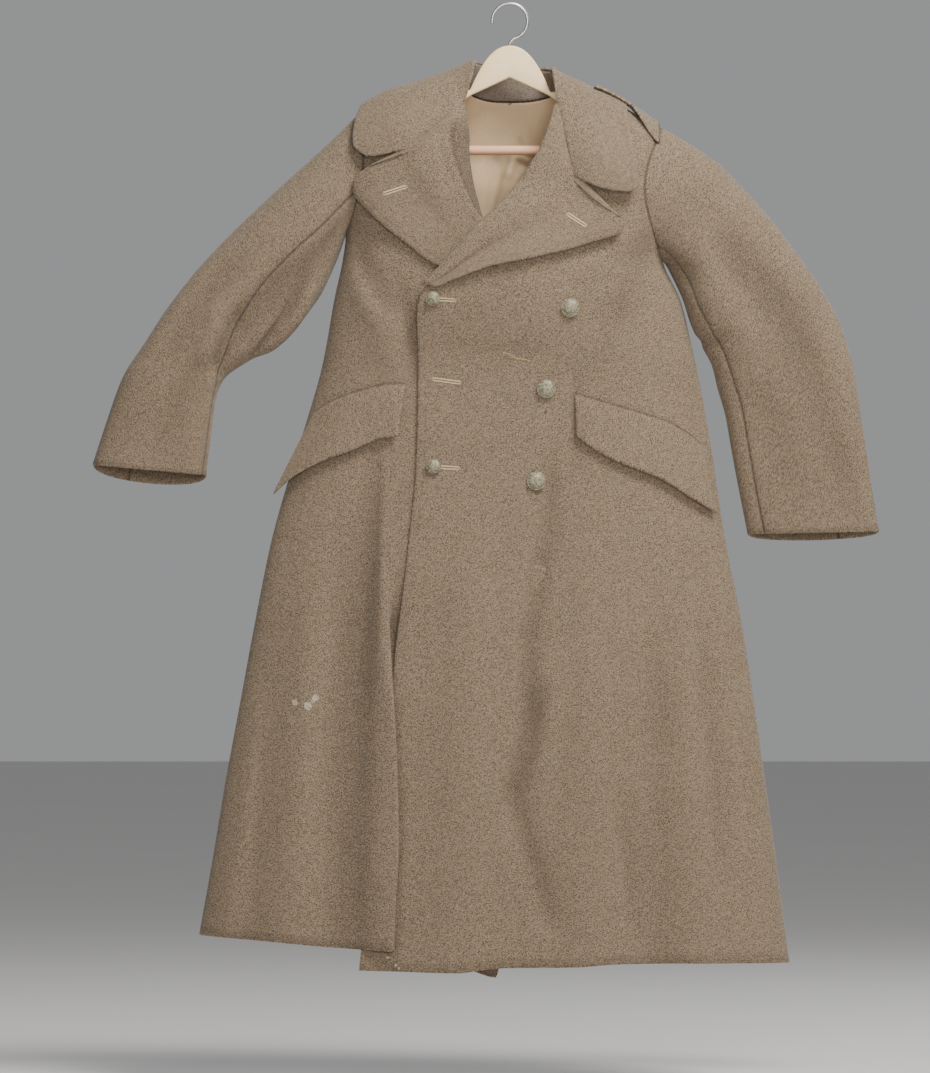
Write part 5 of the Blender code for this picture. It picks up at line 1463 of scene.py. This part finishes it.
BUTTON_SHAPE = (  # radius, height over the foot
    (0.0043, 0.0002), (0.0045, 0.0016), (0.009, 0.0018), (0.0117, 0.002), (0.01245, 0.0024),
    (0.0127, 0.003), (0.0125, 0.0036), (0.012, 0.0039), (0.0115, 0.0038), (0.0111, 0.0036),
    (0.0107, 0.004), (0.0098, 0.0047), (0.0088, 0.0053), (0.0076, 0.0059), (0.0064, 0.0063),
    (0.0052, 0.0066), (0.004, 0.0068), (0.0028, 0.007), (0.0017, 0.0071), (0.0006, 0.0072),
)
PETALS = 8
PETAL_HEIGHT = 0.00032


def button_rings(foot, facing, turn, size, sides=64):
    spin = Vector(facing).to_track_quat("Z", "Y")
    rings = []
    radii, heights = (spread(column, 46) for column in zip(*BUTTON_SHAPE))
    for radius, height in zip(radii, heights):
        ring = []
        for a in (2 * math.pi * k / sides for k in range(sides)):
            petal = (0.5 + 0.5 * math.cos(PETALS * (a + turn))) * math.exp(-((radius - 0.0058) / 0.0019) ** 2)
            boss = math.exp(-((radius - 0.0018) / 0.001) ** 2) * 0.6
            lift = PETAL_HEIGHT * (petal + boss) if height > 0.004 else 0.0
            across = radius * size
            ring.append(spin @ Vector((across * math.cos(a), across * math.sin(a), height + lift)) + Vector(foot))
        rings.append(ring)
    return rings


def hanger_top(x):
    return HEAD_TOP - HEAD_DROP * (np.abs(x) / HEAD_ARCH) ** 2.2


def hanger_section(x):
    arm_top = float(table(SHOULDER_LINE, 0, 1, x)) - ARM_CLEARANCE
    head = float(hanger_top(x))
    share = 1.0 if abs(x) > HEAD_HALF_WIDTH else float(smooth(0.052, HEAD_HALF_WIDTH, abs(x)))
    top = lerp(head, arm_top, share)
    foot = lerp(HEAD_NOTCH - ARM_SLOPE * abs(x), top - ARM_HEIGHT, float(smooth(0.05, 0.1, abs(x))))
    if abs(x) > BAR_REACH + SEAM_GAP - 0.0001:
        foot = ARM_END_FOOT
    to_end = min(x - HANGER_REACH_RIGHT, HANGER_REACH_LEFT - x)
    rounding = HANGER_END_ROUNDING * (1 - min(to_end / (2 * HANGER_END_ROUNDING), 1.0)) ** 2
    return top - rounding, foot + rounding


def hanger_rings():
    stations = list(np.linspace(HANGER_REACH_RIGHT, HANGER_REACH_LEFT, 150))
    stations += [way * (BAR_REACH + SEAM_GAP * share) for way in (-1, 1) for share in (0, 1)] + [0.0]
    half, edge = HANGER_THICKNESS / 2, HANGER_EDGE
    rings = []
    for x in sorted(stations):
        top, foot = hanger_section(x)
        ring = []
        for y_way, z, z_way in ((-1, foot, 1), (-1, top, -1), (1, top, -1), (1, foot, 1)):
            turns = [math.pi / 2 * n / 4 for n in range(5)]
            if y_way != z_way:
                turns.reverse()
            ring += [(x, y_way * (half - edge + edge * math.cos(a)), z + z_way * (edge - edge * math.sin(a)))
                     for a in turns]
        rings.append(ring)
    return rings


def tube_rings(points, radius, sides):
    rings = []
    for n, point in enumerate(points):
        ahead = (points[min(n + 1, len(points) - 1)] - points[max(n - 1, 0)]).normalized()
        across = ahead.cross(Vector((0, 1, 0))).normalized()
        up = across.cross(ahead).normalized()
        end = 0.72 if n in (0, len(points) - 1) else 1.0
        rings.append([point + (across * math.cos(a) + up * math.sin(a)) * radius * end
                      for a in (2 * math.pi * k / sides for k in range(sides))])
    return rings


# Settings, operators and panel

def distance(name, description, default):
    return bpy.props.FloatProperty(
        name=name, description=description, default=default, unit="LENGTH", subtype="DISTANCE")


class GreatcoatSettings(bpy.types.PropertyGroup):
    """What can be changed before the coat is built."""
    cloth: distance("Cloth", "Thickness of the single wool", WOOL)
    double_cloth: distance("Doubled cloth", "Thickness of lapels, collar and flaps", 0.0036)
    seam_dip: distance("Seam dip", "How far a seam pulls the cloth in", 0.0013)
    stitch_pitch: distance("Stitch pitch", "Distance from one stitch to the next", 0.004)
    stitch_inset: distance("Stitch inset", "Distance of the edge stitching from the edge", 0.0085)
    hem_inset: distance("Hem inset", "Distance of the hem stitching from the hem", 0.0095)
    light: bpy.props.FloatProperty(
        name="Light", description="Strength of the large soft light", default=1.0, min=0.0, subtype="FACTOR")


class BuildStep(bpy.types.Operator):
    """One step in building the coat"""
    bl_idname = "greatcoat.step"
    bl_label = "Build step"
    bl_options = {"REGISTER", "UNDO"}

    def execute(self, context):
        self.build(context.scene.greatcoat)
        return {"FINISHED"}


class BuildFronts(BuildStep):
    """Build the two fronts with their long folds"""
    bl_idname = "greatcoat.fronts"
    bl_label = "Fronts"

    def build(self, s):
        grids = {"front_left": front_left_grid(), "front_right": front_right_grid()}
        lines = []
        for name, grid in grids.items():
            grid = turned_in(grid, ("first_column", "first_row"), s.seam_dip)
            cloth(name, grid, s.cloth, "wool_skirt", ("last_column", "last_row"), ("first_column", "first_row"),
                  hollow=trough_shade(name, grid))
            if name == "front_left":
                lines.append(inset_line(grid, "last_column", s.stitch_inset, s.cloth / 2, (0.305, 0.009)))
            shown = (0.004, 0.009 if name == "front_left" else 0.3)
            lines.append(inset_line(grid, "last_row", s.hem_inset, s.cloth / 2, shown))
        edge_stitching("front_stitching", lines, s)


class BuildBacks(BuildStep):
    """Build the two backs with the centre seam and the vent"""
    bl_idname = "greatcoat.backs"
    bl_label = "Backs"

    def build(self, s):
        lines = []
        for side in ("left", "right"):
            plain = back_grid(side)
            seamed = turned_in(plain, ("first_column", "first_row"), s.seam_dip)
            above_vent = smooth(VENT_START - 0.05, VENT_START, plain[..., 2])[..., None]
            grid = lerp(seamed, turned_in(seamed, ("last_column",), s.seam_dip), above_vent)
            cloth("back_" + side, grid, s.cloth, "wool_plain", ("last_row", "last_column"),
                  ("first_column", "first_row"), hollow=trough_shade("back", grid))
            lines.append(inset_line(grid, "last_row", s.hem_inset, s.cloth / 2, (0.004, 0.009)))
            if side == "right":
                vent = inset_line(grid, "last_column", s.stitch_inset, s.cloth / 2, (0.0, 0.01))
                lines.append(vent[vent[:, 2] < VENT_START - 0.03])
        edge_stitching("back_stitching", lines, s)


class BuildSleeves(BuildStep):
    """Build both sleeves, each from a top and an under piece"""
    bl_idname = "greatcoat.sleeves"
    bl_label = "Sleeves"

    def build(self, s):
        seams = ("first_column", "last_column")
        for side in ("left", "right"):
            for piece in ("top", "under"):
                grid, height = sleeve_grid(side, piece)
                middle = sleeve_middle(side, np.linspace(0, 1, len(grid)))[:, None]
                dip = s.seam_dip * np.exp(-(distance_to(grid, seams) / SEAM_REACH) ** 2)
                # Painted shade in the troughs of the sleeve's creases
                cloth(f"sleeve_{piece}_{side}", raised(grid, -dip, middle), s.cloth, "wool_bare", ("last_row",),
                      (*seams, "first_row"), hollow=TROUGH_DARK * np.clip(-height / 0.0075, 0.0, 1.0))


class BuildLapels(BuildStep):
    """Build the two lapels that turn over the roll of the fronts"""
    bl_idname = "greatcoat.lapels"
    bl_label = "Lapels"

    def build(self, s):
        lines = []
        for side in ("left", "right"):
            grid, hollow = lapel_grid(side)
            cloth("lapel_" + side, grid, s.double_cloth, "wool", ("last_column",), rounding=0.5, hollow=hollow)
            lines.append(inset_line(grid, "last_column", s.stitch_inset, s.double_cloth / 2, (0.006, 0.004)))
        edge_stitching("lapel_stitching", lines, s, 0.00036)


class BuildCollar(BuildStep):
    """Build the collar's leaf and its stand"""
    bl_idname = "greatcoat.collar"
    bl_label = "Collar"

    def build(self, s):
        grid = leaf_grid()
        ends = {"last_column": (0.008, 0.008), "first_row": (0.006, 0.008), "last_row": (0.006, 0.008)}
        cloth("collar_fall", grid, s.double_cloth, "wool", tuple(ends), rounding=0.5)
        cloth("collar_stand", stand_grid(), s.cloth, "felt", slot="collar_stand_wool")
        lines = [inset_line(grid, edge, s.stitch_inset, s.double_cloth / 2, trim) for edge, trim in ends.items()]
        edge_stitching("collar_stitching", lines, s, 0.00036)


class BuildFlaps(BuildStep):
    """Build the slanted pocket flaps"""
    bl_idname = "greatcoat.flaps"
    bl_label = "Pocket flaps"

    def build(self, s):
        for side in ("left", "right"):
            grid = turned_in(flap_grid(side), ("first_column",), s.seam_dip)
            cloth("pocket_flap_" + side, grid, s.double_cloth, "wool_bare", ("last_column", "first_row", "last_row"),
                  ("first_column",), 0.5, rests_on="front_" + side)


class BuildStraps(BuildStep):
    """Build the shoulder straps, one raised and one lying flat"""
    bl_idname = "greatcoat.straps"
    bl_label = "Shoulder straps"

    def build(self, s):
        lines = []
        for side, x_arm, x_neck in STRAPS:
            grid = strap_grid(side, x_arm, x_neck)
            edges = ("first_column", "last_column")
            cloth("shoulder_strap_" + side, grid, STRAP_THICKNESS, "wool", edges, ("first_row",), 0.5)
            lines += [inset_line(grid, edge, 0.006, STRAP_THICKNESS / 2, (0.004, 0.004)) for edge in edges]
        edge_stitching("strap_stitching", lines, s)


class BuildLining(BuildStep):
    """Build the twill lining of the back, as far as it shows in the neck"""
    bl_idname = "greatcoat.lining"
    bl_label = "Lining"

    def build(self, s):
        cloth("lining_back", lining_grid(), LINING, "lining", slot="lining_twill")


class BuildButtons(BuildStep):
    """Build the domed brass buttons with a plain petal pattern"""
    bl_idname = "greatcoat.buttons"
    bl_label = "Buttons"

    def build(self, s):
        for number, (x, z, sunk, size) in enumerate(BUTTONS, start=1):
            x, z = np.array(x), np.array(z)
            facing = out_of_shell(x, z)
            foot = front_point("left", x, z) + facing * (s.cloth / 2 + 2 * SEAM_GAP - sunk)
            rings = button_rings(foot, facing, 0.4 * number, size)
            loft(f"brass_button_{number}", rings, "brass", f"button_{number}", "aged_brass")


class BuildThreads(BuildStep):
    """Work the buttonholes and lay the loose thread"""
    bl_idname = "greatcoat.threads"
    bl_label = "Threads"

    def build(self, s):
        purls, slits = [], []
        for piece, *place_and_size in BUTTONHOLES:
            worked, slit = buttonhole_lines(bpy.data.objects[piece + "_cloth"], *place_and_size)
            purls += worked
            slits.append(slit)
        along_lines("buttonhole_purls", purls, "thread", "thread_pale", Radius=PURL_RADIUS)
        # The slit is a dark thread that stands for the shade inside the cut
        along_lines("buttonhole_slits", slits, "thread", "dark", Radius=0.00042)
        front = bpy.data.objects["front_left_cloth"]
        tacking = [seen_from_front(front, lerp(-0.0095, 0.027, t),
                                   lerp(-0.473, -0.485, t) + 0.0012 * math.sin(9 * t), 0.0002)
                   for t in np.linspace(0, 1, 24)]
        along_lines("tacking_thread", [tacking], "thread", "thread_yellow", Radius=0.00034)


class BuildHanger(BuildStep):
    """Build the wooden hanger, its trouser bar and its wire hook"""
    bl_idname = "greatcoat.hanger"
    bl_label = "Hanger"

    def build(self, s):
        loft("hanger_wood", hanger_rings(), "wood", "hanger", "pale_wood")
        ends = [Vector((x, 0, BAR_Z)) for x in np.linspace(-BAR_REACH, BAR_REACH, 40)]
        loft("trouser_bar_wood", tube_rings(ends, BAR_RADIUS, 32), "bar", "trouser_bar", "bar_wood")
        reach = HOOK_RADIUS + HOOK_WIRE
        wire = [Vector((0, 0, HEAD_TOP + SEAM_GAP + t * 0.0036)) for t in (0.0, 0.5, 1.0)]
        wire += [Vector((reach * math.cos(a), 0, -HOOK_RADIUS + reach * math.sin(a)))
                 for a in np.radians(np.linspace(-78, 190, 64))]
        loft("hook_wire", tube_rings(wire, HOOK_WIRE, 14), "steel", "hanger_hook", "hook_steel")


CAMERA_MIDDLE = (-0.0608, -0.7209)
CAMERA_FAR = 14.0
SHOWN_HEIGHT = 1.45


class BuildStage(BuildStep):
    """Set up the floor, the soft studio light and the camera"""
    bl_idname = "greatcoat.stage"
    bl_label = "Stage"

    def build(self, s):
        floor_finish = Finish("studio_floor")
        paper = floor_finish.noise(3.0, 2.0, 0.5)
        floor_finish.done(floor_finish.mix(paper, (0.6, 0.59, 0.58), (0.63, 0.62, 0.61)), 0.85)
        bpy.ops.mesh.primitive_plane_add(size=40.0, location=(0, 0, -1.46))
        floor = bpy.context.object
        floor.name = "studio_floor"
        floor.data.materials.append(floor_finish.material)

        world = bpy.data.worlds.new("studio_air")
        bpy.context.scene.world = world
        world.use_nodes = True
        sky = world.node_tree.nodes["Background"]
        sky.inputs["Color"].default_value = (0.78, 0.79, 0.8, 1.0)
        sky.inputs["Strength"].default_value = 0.4 * s.light

        self.lamp("key_light", (1.35, -1.9, 2.6), (0.0, 0.0, -0.6), 1.3, 225.0 * s.light, (1.0, 0.97, 0.93))
        self.lamp("fill_light", (0.25, -3.6, 0.15), (0.0, 0.0, -0.45), 1.2, 60.0 * s.light, (1.0, 0.98, 0.95))
        self.lamp("back_light", (1.6, 2.4, 1.6), (0.0, 0.0, -0.6), 2.4, 45.0 * s.light, (0.95, 0.97, 1.0))

        camera = linked("camera", bpy.data.cameras.new("camera"))
        camera.location = (CAMERA_MIDDLE[0], -CAMERA_FAR - 0.05, CAMERA_MIDDLE[1])
        camera.rotation_euler = (math.pi / 2, 0, 0)
        camera.data.lens = camera.data.sensor_width * CAMERA_FAR / SHOWN_HEIGHT
        camera.data.clip_end = 60.0
        bpy.context.scene.camera = camera

    def lamp(self, name, at, to, size, power, colour):
        data = bpy.data.lights.new(name, "AREA")
        data.shape, data.size, data.energy, data.color = "SQUARE", size, power, colour
        obj = linked(name, data)
        obj.location = at
        obj.rotation_euler = (Vector(to) - Vector(at)).to_track_quat("-Z", "Y").to_euler()


STEPS = (BuildFronts, BuildBacks, BuildSleeves, BuildLapels, BuildCollar, BuildFlaps, BuildStraps, BuildLining,
         BuildButtons, BuildThreads, BuildHanger, BuildStage)


class GREATCOAT_PT_build(bpy.types.Panel):
    """The build steps and their settings in the 3D view's sidebar"""
    bl_idname = "GREATCOAT_PT_build"
    bl_label = "Greatcoat"
    bl_space_type = "VIEW_3D"
    bl_region_type = "UI"
    bl_category = "Greatcoat"

    def draw(self, context):
        for name in GreatcoatSettings.__annotations__:
            self.layout.prop(context.scene.greatcoat, name)
        for step in STEPS:
            self.layout.operator(step.bl_idname)


CLASSES = (GreatcoatSettings, *STEPS, GREATCOAT_PT_build)


def register():
    for cls in CLASSES:
        bpy.utils.register_class(cls)
    bpy.types.Scene.greatcoat = bpy.props.PointerProperty(type=GreatcoatSettings)


def unregister():
    del bpy.types.Scene.greatcoat
    for cls in reversed(CLASSES):
        bpy.utils.unregister_class(cls)


def main():
    register()
    for step in STEPS:
        getattr(bpy.ops.greatcoat, step.bl_idname.split(".")[1])()


if __name__ == "__main__":
    main()
